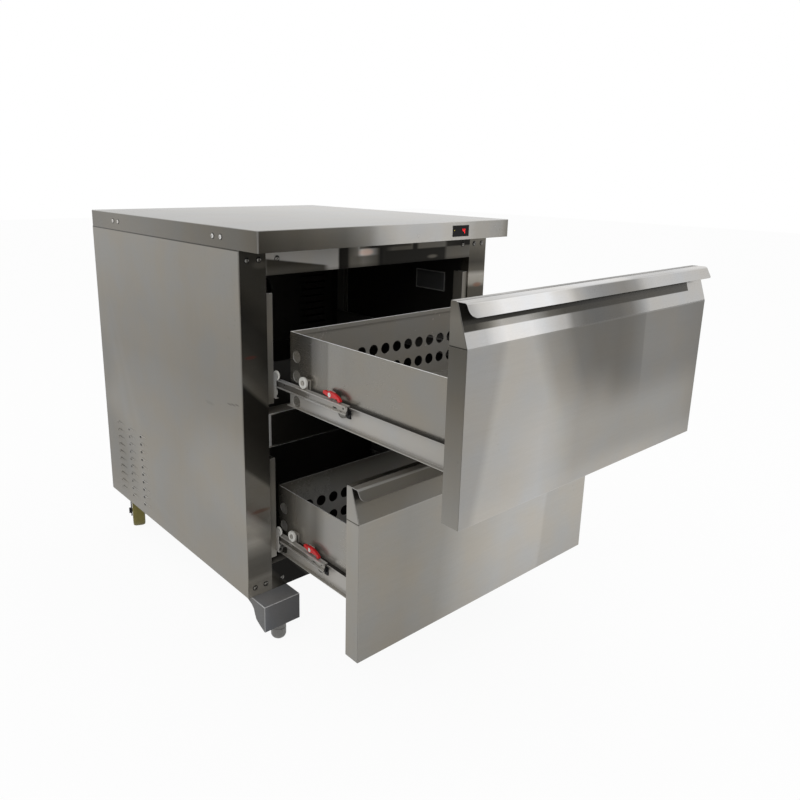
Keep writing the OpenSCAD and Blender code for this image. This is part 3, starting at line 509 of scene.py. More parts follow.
@dataclass(frozen=True)
class Layer:
    """A tone that shows on one side of a piece, or on one stretch of it.

    Attributes:
        tone: Its shades.
        side: The side that shows it, if only one does.
        spans: Stretches that it is kept to.
        blend: How it goes over what is under it.
        strength: Its share where it shows.
        metal: How metallic the finish is there, if that differs from the rest.
    """

    tone: Tone
    side: Side | None = None
    spans: tuple[Span, ...] = ()
    blend: str = "MIX"
    strength: float = 1.0
    metal: float | None = None

    def share(self, bench: NodeBench, spot: Socket) -> Feed:
        """Adds the mask of where the layer shows.

        Args:
            bench: Bench of the material.
            spot: Position on the piece.

        Returns:
            The mask.
        """
        share: Feed = self.strength
        if self.side is not None:
            facing = bench.effect(EFFECTS.facing, {
                "Normal": spot.node.outputs["Normal"], "Way": self.side.value}, "Mask")
            share = bench.math("MULTIPLY", facing, share)
        for span in self.spans:
            share = bench.math("MULTIPLY", span.place(bench, spot), share)
        return share


class Finish:
    """A material of the freezer. Each kind of finish adds its own nodes."""

    name: str

    def material(self) -> bpy.types.Material:
        """Builds the material the first time that it is asked for.

        Returns:
            The material.
        """
        found = bpy.data.materials.get("finish_" + self.name)
        if found is not None:
            return found
        made = bpy.data.materials.new("finish_" + self.name)
        bench = NodeBench.cleared(made)
        shader = bench.add("ShaderNodeBsdfPrincipled").node
        bench.end("ShaderNodeOutputMaterial", shader.outputs[0])
        self.dress(bench, shader, bench.spot())
        return made

    def dress(self, bench: NodeBench, shader: bpy.types.Node, spot: Socket) -> None:
        """Feeds the shader, in each kind of finish's own way.

        Args:
            bench: Bench of the material.
            shader: The shader.
            spot: Position on the piece.
        """
        raise NotImplementedError

    @staticmethod
    def clouds(bench: NodeBench, spot: Socket, size: float, strength: float,
               output: str = "Mask") -> Socket:
        """Places the soft mottling.

        Args:
            bench: Bench of the material.
            spot: Position on the piece.
            size: Scale of the mottling.
            strength: How far its factor wavers.
            output: Whether its mask or its factor is given back.

        Returns:
            That output's socket.
        """
        return bench.effect(
            EFFECTS.clouds, {"Vector": spot, "Size": size, "Strength": strength}, output)

    @staticmethod
    def marks_on(bench: NodeBench, spot: Socket, size: float, amount: float) -> Socket:
        """Places small marks.

        Args:
            bench: Bench of the material.
            spot: Position on the piece.
            size: Scale of the marks.
            amount: How strong they are.

        Returns:
            Their mask.
        """
        return bench.effect(
            EFFECTS.specks, {"Vector": spot, "Size": size, "Amount": amount}, "Mask")

    @staticmethod
    def bump(bench: NodeBench, shader: bpy.types.Node, height: Socket, strength: float,
             distance: float) -> None:
        """Feeds a height to the shader's normal.

        Args:
            bench: Bench of the material.
            shader: The shader.
            height: The height.
            strength: How strong it shows.
            distance: Its depth in millimetres.
        """
        bumped = bench.add("ShaderNodeBump", None, {
            "Height": height, "Strength": strength, "Distance": distance * MM})
        bench.feed(shader.inputs["Normal"], bumped)


@dataclass(frozen=True)
class Steel(Finish):
    """Stainless or plated sheet, with its grain, its painted soft reflections and its painted edge
    highlights.

    Attributes:
        name: Name of the finish.
        base: Shades of what no layer covers.
        layers: Shades of its sides and stretches.
        patches: Soft reflections.
        grain: Which way it is brushed.
        streaks: Strength of the brushed streaks.
        mottle: Strength of the soft mottling.
        rough: Its roughness.
        edge: How much lighter the painted highlight makes its rounded edges.
        marks: How many small marks it has.
        metallic: How metallic it is.
        bend: How far its reflections waver, in metres.
        shine: Level of its clear reflection.
    """

    name: str
    base: Tone
    layers: tuple[Layer, ...] = ()
    patches: tuple[Patch, ...] = ()
    grain: Grain = Grain.ALONG_X
    streaks: float = 0.16
    mottle: float = 0.12
    rough: float = 0.3
    edge: float = 0.35
    marks: float = 0.25
    metallic: float = 1.0
    bend: float = 0.01
    shine: float = 0.25

    def dress(self, bench: NodeBench, shader: bpy.types.Node, spot: Socket) -> None:
        """Feeds the shader of a steel sheet.

        Args:
            bench: Bench of the material.
            shader: Its shader node.
            spot: Position on the piece.
        """
        wobble = bench.vector("SUBTRACT", bench.noise(spot, 6.0, 2.0, 1), (0.5, 0.5, 0.5))
        small = bench.add("ShaderNodeVectorMath", {"operation": "SCALE"},
                          {0: wobble, "Scale": self.bend})
        bent = bench.vector("ADD", spot, small)
        colour = self.base.place(bench, bent)
        metal: Feed = self.metallic
        for layer in self.layers:
            share = layer.share(bench, spot)
            colour = bench.mix(share, colour, layer.tone.place(bench, bent), layer.blend)
            if layer.metal is not None:
                metal = bench.add("ShaderNodeMix", None, {0: share, 2: metal, 3: layer.metal})
        for patch in self.patches:
            colour = patch.place(bench, bent, colour)
        streaks = bench.effect(EFFECTS.brushed, {
            "Vector": spot, "Streaks": self.grain.value, "Strength": self.streaks}, "Factor")
        clouds = self.clouds(bench, spot, 5.0, self.mottle, "Factor")
        factor = bench.math("MULTIPLY", streaks, clouds)
        colour = bench.times(colour, factor)
        hue = bench.spread(bench.noise(spot, 11.0, 3.0), 0.35, 0.65)
        colour = bench.times(colour, bench.mix(hue, WARM_CAST, COOL_CAST))
        # Painted highlight on the rounded edges
        colour = bench.mix(bench.math("MULTIPLY", bench.edge_highlight(), self.edge), colour,
                           bench.mix(0.5, colour, EDGE_HIGHLIGHT_GREY))
        marks = self.marks_on(bench, spot, 60.0, self.marks)
        colour = bench.mix(marks, colour, bench.times(colour, MARK_TINT))
        bench.feed(shader.inputs["Base Color"], colour)
        bench.feed(shader.inputs["Metallic"], metal)
        shader.inputs["Specular IOR Level"].default_value = self.shine
        rough = bench.spread(factor, 0.8, 1.2, self.rough - 0.05, self.rough + 0.07)
        bench.feed(shader.inputs["Roughness"], bench.math("ADD", rough, bench.math(
            "MULTIPLY", marks, 0.2)))
        self.bump(bench, shader, streaks.node.outputs["Height"], 0.12, 0.05)


@dataclass(frozen=True)
class Spangle(Finish):
    """Galvanised sheet with its crystal pattern.

    Attributes:
        name: Name of the finish.
        light: Colour of its light crystals.
        dark: Colour of its dark crystals.
        size: Scale of the crystals.
        rough: Its roughness.
        edge: How much lighter the painted highlight makes its rounded edges.
        metallic: How metallic it is.
    """

    name: str
    light: Colour
    dark: Colour
    size: float = 90.0
    rough: float = 0.42
    edge: float = 0.3
    metallic: float = 0.9

    def dress(self, bench: NodeBench, shader: bpy.types.Node, spot: Socket) -> None:
        """Feeds the shader of galvanised sheet.

        Args:
            bench: Bench of the material.
            shader: Its shader node.
            spot: Position on the piece.
        """
        crystals = bench.add("ShaderNodeTexVoronoi", None,
                             {"Vector": spot, "Scale": self.size}, "Color")
        clouds = self.clouds(bench, spot, 8.0, 0.5)
        level = bench.add("ShaderNodeSeparateColor", None, {0: crystals}, 0)
        share = bench.math("ADD", bench.math("MULTIPLY", level, 0.45),
                           bench.math("MULTIPLY", clouds, 0.55))
        colour = bench.mix(bench.spread(share, 0.25, 0.75), self.dark, self.light)
        # Painted highlight on the rounded edges
        bright = bench.times(colour, (1 + 2 * self.edge,) * 3 + (1.0,))
        bench.feed(shader.inputs["Base Color"], bench.mix(bench.edge_highlight(), colour, bright))
        shader.inputs["Metallic"].default_value = self.metallic
        bench.feed(shader.inputs["Roughness"],
                   bench.spread(share, 0.2, 0.8, self.rough - 0.08, self.rough + 0.12))
        self.bump(bench, shader, clouds, 0.1, 0.2)


@dataclass(frozen=True)
class Moulded(Finish):
    """Moulded or cast stuff: plastic, rubber, paint, foam or nylon, with its fine skin.

    Attributes:
        name: Name of the finish.
        colour: Its colour.
        other: The colour that its mottling leans to.
        rough: Its roughness.
        skin: Scale of its fine skin.
        depth: Depth of that skin in millimetres.
        mottle: Scale of its mottling.
        metallic: How metallic it is.
        dust: How much dust lies on it.
        shine: Its specular level.
    """

    name: str
    colour: Colour
    other: Colour
    rough: float = 0.5
    skin: float = 900.0
    depth: float = 0.05
    mottle: float = 14.0
    metallic: float = 0.0
    dust: float = 0.1
    shine: float = 0.5

    def dress(self, bench: NodeBench, shader: bpy.types.Node, spot: Socket) -> None:
        """Feeds the shader of a moulded piece.

        Args:
            bench: Bench of the material.
            shader: Its shader node.
            spot: Position on the piece.
        """
        clouds = self.clouds(bench, spot, self.mottle, 0.4)
        colour = bench.mix(bench.spread(clouds, 0.3, 0.7), self.colour, self.other)
        # Painted highlight on the rounded edges
        colour = bench.mix(bench.math("MULTIPLY", bench.edge_highlight(), 0.3), colour,
                           bench.times(colour, EDGE_HIGHLIGHT_TINT))
        colour = bench.mix(self.marks_on(bench, spot, 140.0, self.dust), colour, DUST)
        bench.feed(shader.inputs["Base Color"], colour)
        shader.inputs["Metallic"].default_value = self.metallic
        shader.inputs["Specular IOR Level"].default_value = self.shine
        bench.feed(shader.inputs["Roughness"],
                   bench.spread(clouds, 0.3, 0.7, self.rough - 0.06, self.rough + 0.06))
        fine = bench.noise(spot, self.skin, 2.0)
        self.bump(bench, shader, fine, 0.25, self.depth)


@dataclass(frozen=True)
class Glow(Finish):
    """A lit display part."""

    name: str
    colour: Colour
    strength: float

    def dress(self, bench: NodeBench, shader: bpy.types.Node, spot: Socket) -> None:
        """Feeds the shader of a lit part.

        Args:
            bench: Bench of the material.
            shader: Its shader node.
            spot: Position on the piece.
        """
        lit = bench.times(self.colour, self.clouds(bench, spot, 500.0, 0.3, "Factor"))
        bench.feed(shader.inputs["Base Color"], lit)
        bench.feed(shader.inputs["Emission Color"], lit)
        shader.inputs["Emission Strength"].default_value = self.strength
        shader.inputs["Roughness"].default_value = 0.3


X: Point = (1.0, 0.0, 0.0)
Y: Point = (0.0, 1.0, 0.0)
Z: Point = (0.0, 0.0, 1.0)


def even(level: float, warmth: float = 1.0) -> Tone:
    """Makes a tone with nearly the same shade all over."""
    return Tone(X, ((-360, level - 2), (360, level + 2)), warmth=warmth)


class Finishes:
    """All finishes of the freezer, by what they dress."""

    # The tones, layers and patches below paint the reflections, highlights and shade that each sheet
    # shows, besides its own grey and marks
    worktop = Steel(
        "worktop_steel",
        Tone(Y, ((-67, 88), (-6, 96), (108, 99), (237, 105), (400, 109), (560, 110), (733, 100))),
        layers=(
            Layer(Tone((1.0, 0.12, 0.0), ((-355, 114), (-150, 128), (60, 143), (260, 158),
                                          (420, 163)), warmth=0.8), Side.TOP),
            Layer(Tone(X, ((-355, 70), (-295, 88), (-261, 91), (-214, 104), (-150, 108), (-113, 130),
                           (-87, 141), (-59, 172), (-3, 186), (60, 184), (118, 186), (200, 180),
                           (240, 162), (290, 158), (330, 150), (355, 112))), Side.FRONT,
                  metal=0.7),
            Layer(Tone(Y, ((-67, 70), (733, 110))), Side.RIGHT),
            Layer(even(52), Side.LEFT, (Span(Y, -64.6, -63.6, 0.4),)),
        ),
        rough=0.24, streaks=0.2, edge=0.5)
    side = Steel(
        "side_steel",
        Tone(Z, ((110, 126), (250, 130), (350, 129), (450, 125), (560, 120), (650, 124), (750, 132),
                 (845, 136))),
        # Painted highlight on the top faces, the louvres' tops among them, and a painted shadow line
        # under the apron; the front strip is darker along its front edge
        layers=(Layer(even(225), Side.TOP, metal=0.1),
                Layer(even(58), Side.LEFT, (Span(Z, 842.4, 850, 0.5),)),
                Layer(Tone(Y, ((-6, 84), (14, 120))), Side.LEFT,
                      (Span(Y, -10, 4, 2), Span(Z, 400, 850, 60)), strength=0.8)),
        patches=(Patch((-355, 60, 360), (60, 240, 150), 142, 0.55),
                 Patch((-355, 740, 230), (80, 240, 200), 102, 0.8),
                 Patch((-355, 750, 480), (80, 130, 130), 108, 0.7),
                 Patch((-355, 135, 515), (30, 26, 5), 108, 0.5),
                 Patch((-355, 52, 530.6), (30, 14, 2), 84, 0.8),
                 Patch((-355, 36, 533.4), (30, 14, 2), 78, 0.8),
                 Patch((-355, 20, 536.8), (30, 12, 2), 80, 0.8)),
        grain=Grain.ALONG_Z, rough=0.33, streaks=0.14, mottle=0.16, edge=0.2, bend=0.03)
    left_post = Steel(
        "left_post_mirror_steel",
        Tone((0.95, 0.0, 1.0), ((-225, 160), (-197, 130), (-168, 70), (-120, 66), (-92, 98), (-60, 148),
                                (-40, 146), (-20, 103), (10, 112), (61, 112), (72, 62), (163, 40),
                                (240, 34), (252, 86), (278, 64), (303, 58), (340, 40), (385, 33),
                                (450, 55), (533, 58))),
        layers=(Layer(Tone(Z, ((105, 140), (125, 134), (140, 108), (155, 70), (175, 66), (195, 73),
                               (215, 101), (235, 131), (262, 122))), spans=(Span(Z, 60, 250, 16),)),),
        patches=(Patch((-334, 0, 634), (18, 9, 5), 60, 0.5, colour=tint(88, 40, 32)),
                 Patch((-318, 0, 299), (30, 9, 6), 60, 0.6, colour=tint(96, 66, 52)),
                 Patch((-306, 0, 815), (26, 9, 10), 84, 0.8)),
        rough=0.2, streaks=0.3, mottle=0.25, edge=0.6, marks=0.4, metallic=0.35)
    right_post = Steel(
        "right_post_mirror_steel",
        Tone(Z, ((105, 50), (400, 48), (640, 50), (716, 70), (726, 140), (748, 158), (758, 86),
                 (778, 58), (800, 78), (828, 106), (845, 90)), warmth=1.3),
        patches=(Patch((330, 0, 722), (22, 9, 8), 90, 0.6, colour=tint(118, 78, 58)),),
        rough=0.2, streaks=0.3, mottle=0.5, edge=0.5, marks=0.4, metallic=0.6,
        bend=0.02)
    top_rail = Steel(
        "top_rail_mirror_steel",
        Tone(X, ((-295, 184), (-116, 196), (-112, 38), (-90, 38), (-84, 92), (-62, 126), (-50, 236),
                 (-28, 190), (-2, 74), (4, 26), (20, 44), (40, 88), (76, 92), (100, 98), (104, 40),
                 (114, 40), (122, 110), (205, 118), (216, 50), (250, 40), (295, 34))),
        layers=(Layer(Tone(Z, ((793, 95), (812, 64))),
                      spans=(Span((0.148, 0.0, 1.0), 700, 782, 2), Span(X, -300, -146, 10))),
                Layer(Tone(X, ((20, 36), (205, 40), (216, 104), (295, 108))),
                      spans=(Span(Z, 780, 823, 2), Span(X, 16, 300, 3))),
                Layer(Tone(X, ((-60, 104), (-46, 118), (-8, 84), (4, 30))),
                      spans=(Span(Z, 780, 817, 3), Span(X, -80, 8, 4))),
                # Painted shade at the top and bottom of the front, and on the underside
                Layer(Tone(Z, ((793, 200), (800, 250), (838, 250), (845, 150)), warmth=0.0),
                      Side.FRONT, blend="MULTIPLY"),
                Layer(Tone(X, ((-60, 104), (-45, 96), (-22, 34), (15, 36), (45, 54), (75, 64),
                               (100, 72))), spans=(Span(Z, 831, 850, 2), Span(X, -58, 96, 4))),
                Layer(even(40), Side.UNDER)),
        patches=(Patch((-38, 0, 823), (26, 9, 10), 120, 0.5, colour=tint(250, 206, 180)),
                 Patch((166, 0, 803), (22, 9, 6), 104, 0.9)),
        rough=0.16, streaks=0.08, mottle=0.2, edge=0.5, marks=0.3, metallic=0.25, bend=0.006,
        shine=0.06)
    middle_rail = Steel(
        "middle_rail_mirror_steel",
        Tone(X, ((-295, 26), (-250, 22), (-100, 18), (295, 24))),
        # Painted highlights along the front's top and bottom edges and at its left end, a lighter top and
        # a painted shade underneath
        layers=(Layer(even(120), Side.TOP), Layer(even(30), Side.UNDER),
                Layer(Tone(X, ((-295, 150), (-266, 40), (295, 30))), Side.FRONT,
                      (Span(Z, 505, 512, 0.6),)),
                Layer(even(156, -0.1), Side.FRONT, (Span(X, -300, -289.5, 0.5),)),
                Layer(Tone(X, ((-295, 120), (-274, 40), (295, 22))), Side.FRONT,
                      (Span(Z, 434, 438.5, 0.5),))),
        rough=0.2, streaks=0.2, mottle=0.4, edge=1.0, metallic=0.3)
    bottom_rail = Steel(
        "bottom_rail_mirror_steel",
        Tone((1.2, 0.0, 1.0), ((-240, 100), (-218, 60), (-195, 22), (-140, 20), (-124, 72), (0, 72),
                               (480, 64))),
        layers=(Layer(even(110), Side.TOP),),
        rough=0.2, streaks=0.2, mottle=0.2, edge=0.6, marks=0.4, metallic=0.3, bend=0.005,
        shine=0.06)
    upper_front = Steel(
        "upper_front_steel",
        Tone(X, ((-342, 166), (-240, 170), (-160, 177), (-120, 170), (-60, 151), (80, 143),
                 (220, 140), (300, 134), (342, 124)), warmth=0.8),
        layers=(Layer(Tone(X, ((-342, 170), (-160, 180), (-60, 162), (120, 162), (342, 142)),
                           warmth=0.8), spans=(Span(Z, 300, 515, 25),)),
                Layer(Tone((1.0, 0.0, 0.5), ((34, 168), (177, 168), (216, 141), (256, 127), (286, 108),
                                             (336, 98), (420, 94)), warmth=0.7),
                      spans=(Span(Z, 640, 900, 60),)),
                Layer(Tone(X, ((0, 97), (40, 93), (80, 97), (124, 109), (128, 121), (230, 118),
                               (342, 105)), warmth=0.7),
                      spans=(Span(Z, 640, 900, 60), Span(X, 30, 400, 30))),
                Layer(Tone((1.0, 0.0, -0.2), ((-520, 230), (-421, 232), (-403, 255), (300, 255)),
                           warmth=0.0), blend="MULTIPLY")),
        streaks=0.2, mottle=0.05, edge=0.12)
    upper_slant = Steel(
        "upper_slant_steel",
        Tone(X, ((-342, 183), (-300, 189), (-282, 212), (-258, 229), (-196, 227), (-160, 203),
                 (-128, 181), (-112, 172), (-92, 122), (-62, 100), (-30, 94), (40, 94), (80, 107),
                 (112, 142), (142, 178), (342, 178)), warmth=0.5),
        # Painted reflection of the lip's dark underside, in two bands just under the lip
        layers=(Layer(Tone(X, ((-342, 58), (-318, 62), (-290, 112), (-276, 150), (-262, 176),
                               (-205, 170), (-150, 96), (-110, 68), (-60, 60), (40, 61), (110, 68),
                               (320, 64))), spans=(Span(Z, 783.4, 900, 0.8), Span(X, -360, 284, 1.2)),
                      metal=0.75),
                Layer(Tone(X, ((-342, 46), (-200, 48), (-120, 44), (0, 48), (120, 62), (290, 60))),
                      spans=(Span(Z, 792.6, 900, 0.8), Span(X, -360, 284, 1.2)), metal=0.6)),
        rough=0.25, streaks=0.14, mottle=0.04, edge=0.1, bend=0.004)
    upper_handle = Steel(
        "upper_handle_steel",
        Tone(X, ((-342, 166), (-322, 194), (-296, 212), (-272, 232), (-170, 233), (-149, 216),
                 (-120, 203), (-97, 168), (-62, 144), (-28, 132), (40, 126), (76, 140), (108, 178),
                 (140, 186), (342, 178)), warmth=0.4),
        layers=(Layer(Tone(X, ((-342, 168), (-294, 178), (-252, 190), (-200, 202), (20, 200),
                               (60, 188), (80, 164), (200, 162), (240, 176), (342, 190)),
                           warmth=0.5), Side.TOP),
                # Painted shade on the fold's underside and back
                Layer(even(40), Side.UNDER, metal=0.5), Layer(even(46), Side.BACK, metal=0.5)),
        rough=0.24, streaks=0.12, mottle=0.04, edge=0.8, bend=0.004)
    lower_front = Steel(
        "lower_front_steel",
        Tone((1.0, 0.0, -0.1), ((-370, 136), (-262, 133), (-165, 140), (-105, 158), (20, 174),
                                (160, 178), (168, 168), (320, 166))),
        layers=(Layer(Tone(Z, ((141, 240), (260, 252), (420, 255)), warmth=0.3), blend="MULTIPLY"),),
        streaks=0.2, mottle=0.05, edge=0.12)
    lower_slant = Steel(
        "lower_slant_steel",
        Tone(X, ((-342, 103), (-245, 104), (-156, 114), (0, 131), (342, 145))),
        layers=(Layer(Tone(X, ((-342, 68), (-156, 84), (342, 108))), spans=(Span(Z, 446, 900, 4),)),),
        rough=0.25, streaks=0.14, mottle=0.06, edge=0.2, metallic=0.8)
    lower_handle = Steel(
        "lower_handle_steel",
        Tone(X, ((-342, 110), (-156, 121), (0, 142), (342, 164))),
        layers=(Layer(Tone(X, ((-342, 122), (-156, 130), (342, 152))), Side.TOP),
                # Painted shade on the fold's underside and back
                Layer(even(36), Side.UNDER, metal=0.5), Layer(even(40), Side.BACK, metal=0.5)),
        rough=0.24, streaks=0.14, mottle=0.1, edge=0.7, metallic=0.4)
    front_end = Steel(
        "front_end_steel",
        Tone(Z, ((141, 134), (300, 140), (410, 146), (475, 140), (491, 132), (560, 122), (640, 108),
                 (690, 96), (758, 84), (762, 104), (800, 112), (825, 92))),
        # Painted shade in the seam between the end flaps of each drawer
        layers=(Layer(even(54), spans=(Span(Z, 760.2, 761.9, 0.4),)),
                Layer(even(66), spans=(Span(Z, 410.9, 412.6, 0.4),))),
        grain=Grain.ALONG_Z, streaks=0.14, mottle=0.1, edge=0.5)
    front_back = Steel(
        "front_back_steel", even(130), rough=0.35, mottle=0.2, edge=0.3, metallic=0.6)
    upper_box = Steel(
        "upper_box_steel",
        Tone(Y, ((-533, 134), (-200, 132), (-152, 143), (-147, 126), (-120, 150), (-100, 158),
                 (-92, 118), (-80, 120), (-25, 98))),
        layers=(Layer(Tone(X, ((-257, 132), (257, 144))), Side.FRONT, metal=0.25),
                Layer(even(128), Side.TOP, metal=0.3),
                Layer(Tone(Y, ((-533, 152), (-25, 120))), Side.RIGHT, metal=0.4),
                # Painted highlight along the rim's top, and the far wall's inner face painted lighter
                # where it shows through the holes
                Layer(even(244, 0.3), Side.TOP, (Span(Z, 679, 690, 0.5),), metal=0.1),
                Layer(even(176), Side.LEFT, (Span(X, 200, 262, 4),), metal=0.3)),
        grain=Grain.ALONG_Y, rough=0.26, streaks=0.05, mottle=0.08, edge=0.6, metallic=0.85)
    lower_box = Steel(
        "lower_box_steel",
        Tone(Y, ((-313, 144), (-180, 141), (-140, 146), (-106, 128), (-84, 150), (-70, 146), (-44, 132),
                 (-12, 107), (28, 84))),
        layers=(Layer(Tone(Z, ((176, 190), (250, 178), (300, 140), (332, 92))), Side.FRONT, metal=0.25),
                Layer(even(90), Side.TOP, metal=0.3),
                Layer(Tone(Y, ((-313, 120), (28, 90))), Side.RIGHT, metal=0.4),
                # Painted highlight along the rim's top, darker at its rear end, and the far wall's inner
                # face painted lighter where it shows through the holes
                Layer(even(180, 0.5), Side.TOP, (Span(Z, 330, 340, 0.5),), metal=0.2),
                Layer(even(66), Side.TOP, (Span(Z, 330, 340, 0.5), Span(Y, 22, 40, 0.5)), metal=0.4),
                Layer(even(150), Side.LEFT, (Span(X, 200, 262, 4),), metal=0.3)),
        grain=Grain.ALONG_Y, rough=0.26, streaks=0.05, edge=0.6, metallic=0.7)
    liner = Steel(
        "liner_steel", even(46, 0.6), mottle=0.6, streaks=0.3, edge=0.8, metallic=0.5)
    cover = Steel(
        "evaporator_cover_steel", even(52, 0.6), rough=0.35, mottle=0.5, edge=0.8, metallic=0.5)
    upright = Steel(
        "upright_steel",
        Tone(Z, ((170, 120), (400, 112), (520, 104), (760, 118))),
        grain=Grain.ALONG_Z, rough=0.32, mottle=0.3, edge=0.6, metallic=0.4)
    outer_slide = Steel(
        "outer_slide_zinc", Tone(Y, ((-10, 160), (40, 120), (200, 90), (500, 80)), warmth=0.6),
        grain=Grain.ALONG_Y, mottle=0.3, edge=0.6, metallic=0.4)
    running_slide = Steel(
        "running_slide_zinc", Tone(Y, ((-230, 148), (-104, 140), (-96, 104), (0, 92), (250, 84)),
                                   warmth=0.8),
        layers=(Layer(even(196), Side.TOP, metal=0.4), Layer(even(70), Side.UNDER)),
        grain=Grain.ALONG_Y, rough=0.28, streaks=0.06, mottle=0.2, edge=0.5, metallic=0.5)
    drawer_slide = Steel(
        "drawer_slide_zinc", Tone(Y, ((-533, 158), (-250, 162), (-160, 172), (-60, 160), (30, 120)),
                                  warmth=0.9),
        layers=(Layer(even(150), Side.TOP, metal=0.2),
                # Painted shadow lines where the box meets each slide's top flange
                Layer(even(30), Side.TOP, (Span(Z, 574, 578, 0.5),), metal=0.5),
                Layer(even(30), Side.TOP, (Span(Z, 224.7, 229, 0.5),), metal=0.5),
                Layer(even(110), Side.UNDER)),
        grain=Grain.ALONG_Y, streaks=0.04, mottle=0.08, edge=0.15, metallic=0.3)
    screw = Steel(
        "screw_steel", even(118, 0.6), grain=Grain.NONE, rough=0.16, mottle=0.3, edge=0.9,
        metallic=0.9)
    rivet = Steel(
        "rivet_steel", even(206, 0.4), grain=Grain.NONE, rough=0.25, mottle=0.2, edge=0.5,
        metallic=0.6)
    screw_slot = Moulded(
        "screw_slot_shadow", tint(30, 29, 27), tint(20, 20, 19), rough=0.6, metallic=0.6)
    louvre_slot = Moulded(
        "louvre_slot_shadow", tint(34, 32, 30), tint(24, 23, 22), rough=0.7)
    bracket = Steel(
        "bracket_grey_steel", even(100, 0.2),
        layers=(Layer(Tone(X, ((-347, 100), (-334, 88), (-300, 80), (-257, 72), (257, 76), (347, 86)),
                           warmth=-0.3),
                      Side.FRONT, metal=0.6),
                Layer(Tone(Y, ((-50, 140), (60, 122)), warmth=-0.4), Side.TOP, metal=0.3),
                Layer(even(46, 0.0), Side.UNDER)),
        grain=Grain.NONE, rough=0.42, streaks=0.4, mottle=0.9, edge=1.4, marks=0.6, metallic=0.6)
    foot = Moulded(
        "foot_grey", tint(104, 103, 101), tint(118, 117, 114), rough=0.42, metallic=0.4, mottle=40.0)
    thread = Steel(
        "foot_stem_zinc", even(140, 0.3), streaks=0.5)
    plate_rim = Moulded(
        "plate_rim_grey", tint(150, 150, 147), tint(130, 130, 128), rough=0.4, metallic=0.3)
    plate_field = Moulded(
        "plate_field_dark", tint(74, 74, 74), tint(62, 62, 62), rough=0.45)
    galvanised = Spangle("galvanised_sheet", tint(164, 166, 166), tint(140, 143, 144), 130.0)
    dark_zinc = Spangle("machine_zinc", tint(120, 122, 122), tint(88, 90, 90), 140.0)
    foam = Moulded(
        "foam_cream", tint(222, 206, 158), tint(205, 186, 134), rough=0.85, skin=300.0, depth=0.6)
    board = Moulded(
        "board_brown", tint(176, 148, 108), tint(152, 122, 84), rough=0.75, skin=160.0, depth=0.3)
    rubber = Moulded(
        "gasket_rubber_dark", tint(34, 34, 33), tint(26, 26, 25), rough=0.6, skin=700.0)
    black_plastic = Moulded("black_plastic_fine", tint(20, 20, 21), tint(12, 12, 13), rough=0.42,
                            shine=0.2)
    fan_plastic = Moulded("fan_plastic", tint(34, 34, 36), tint(24, 24, 26), rough=0.38)
    glass = Moulded(
        "display_dark", tint(16, 10, 11), tint(9, 7, 8), rough=0.14, skin=60.0, depth=0.01, dust=0.03,
        shine=0.15)
    digit = Glow("display_red", tint(255, 34, 40), 1.5)
    lamp = Glow("display_amber", tint(196, 176, 60), 0.7)
    latch = Moulded(
        "latch_red_plastic", tint(200, 16, 22), tint(172, 8, 14), rough=0.3, skin=500.0,
        depth=0.03, dust=0.05)
    nylon = Moulded(
        "nylon_white", tint(208, 207, 202), tint(190, 189, 183), rough=0.4, skin=600.0)
    grey_nylon = Moulded(
        "nylon_grey", tint(126, 124, 118), tint(104, 102, 96), rough=0.45, skin=600.0)
    tread = Moulded(
        "tread_olive", tint(122, 114, 48), tint(92, 84, 34), rough=0.6, skin=240.0, depth=0.3,
        dust=0.5)
    hub = Moulded("castor_hub_grey", tint(70, 64, 52), tint(52, 48, 40), rough=0.5)
    fork = Moulded("fork_dark", tint(46, 44, 40), tint(34, 32, 30), rough=0.4, metallic=0.6)
    black_paint = Moulded(
        "compressor_black_paint", tint(24, 24, 26), tint(16, 16, 18), rough=0.3, dust=0.4)
    copper = Steel(
        "copper_tube", Tone(Z, ((105, 150), (500, 165)), warmth=6.0), grain=Grain.NONE, rough=0.3,
        mottle=0.4, edge=0.2)
    fins = Steel(
        "fin_aluminium", even(150, 0.0), grain=Grain.ALONG_Z, rough=0.4, streaks=0.9, edge=0.2)


def turned(degrees: float, axis: str) -> Matrix:
    """Makes a turn about an axis."""
    return Matrix.Rotation(math.radians(degrees), 4, axis)


def faces_at(verts: Iterable[bmesh.types.BMVert]) -> set[bmesh.types.BMFace]:
    """Finds the faces that meet at some vertices."""
    return {face for vert in verts for face in vert.link_faces}


def only(kind: type, parts: Iterable) -> list:
    """Keeps the parts of one kind, out of what an operator gave."""
    return [part for part in parts if isinstance(part, kind)]


def in_scene(name: str, data: bpy.types.ID) -> bpy.types.Object:
    """Makes an object and puts it in the scene.

    Args:
        name: Its name.
        data: Its mesh, camera or light.

    Returns:
        The object.
    """
    made = bpy.data.objects.new(name, data)
    bpy.context.scene.collection.objects.link(made)
    return made


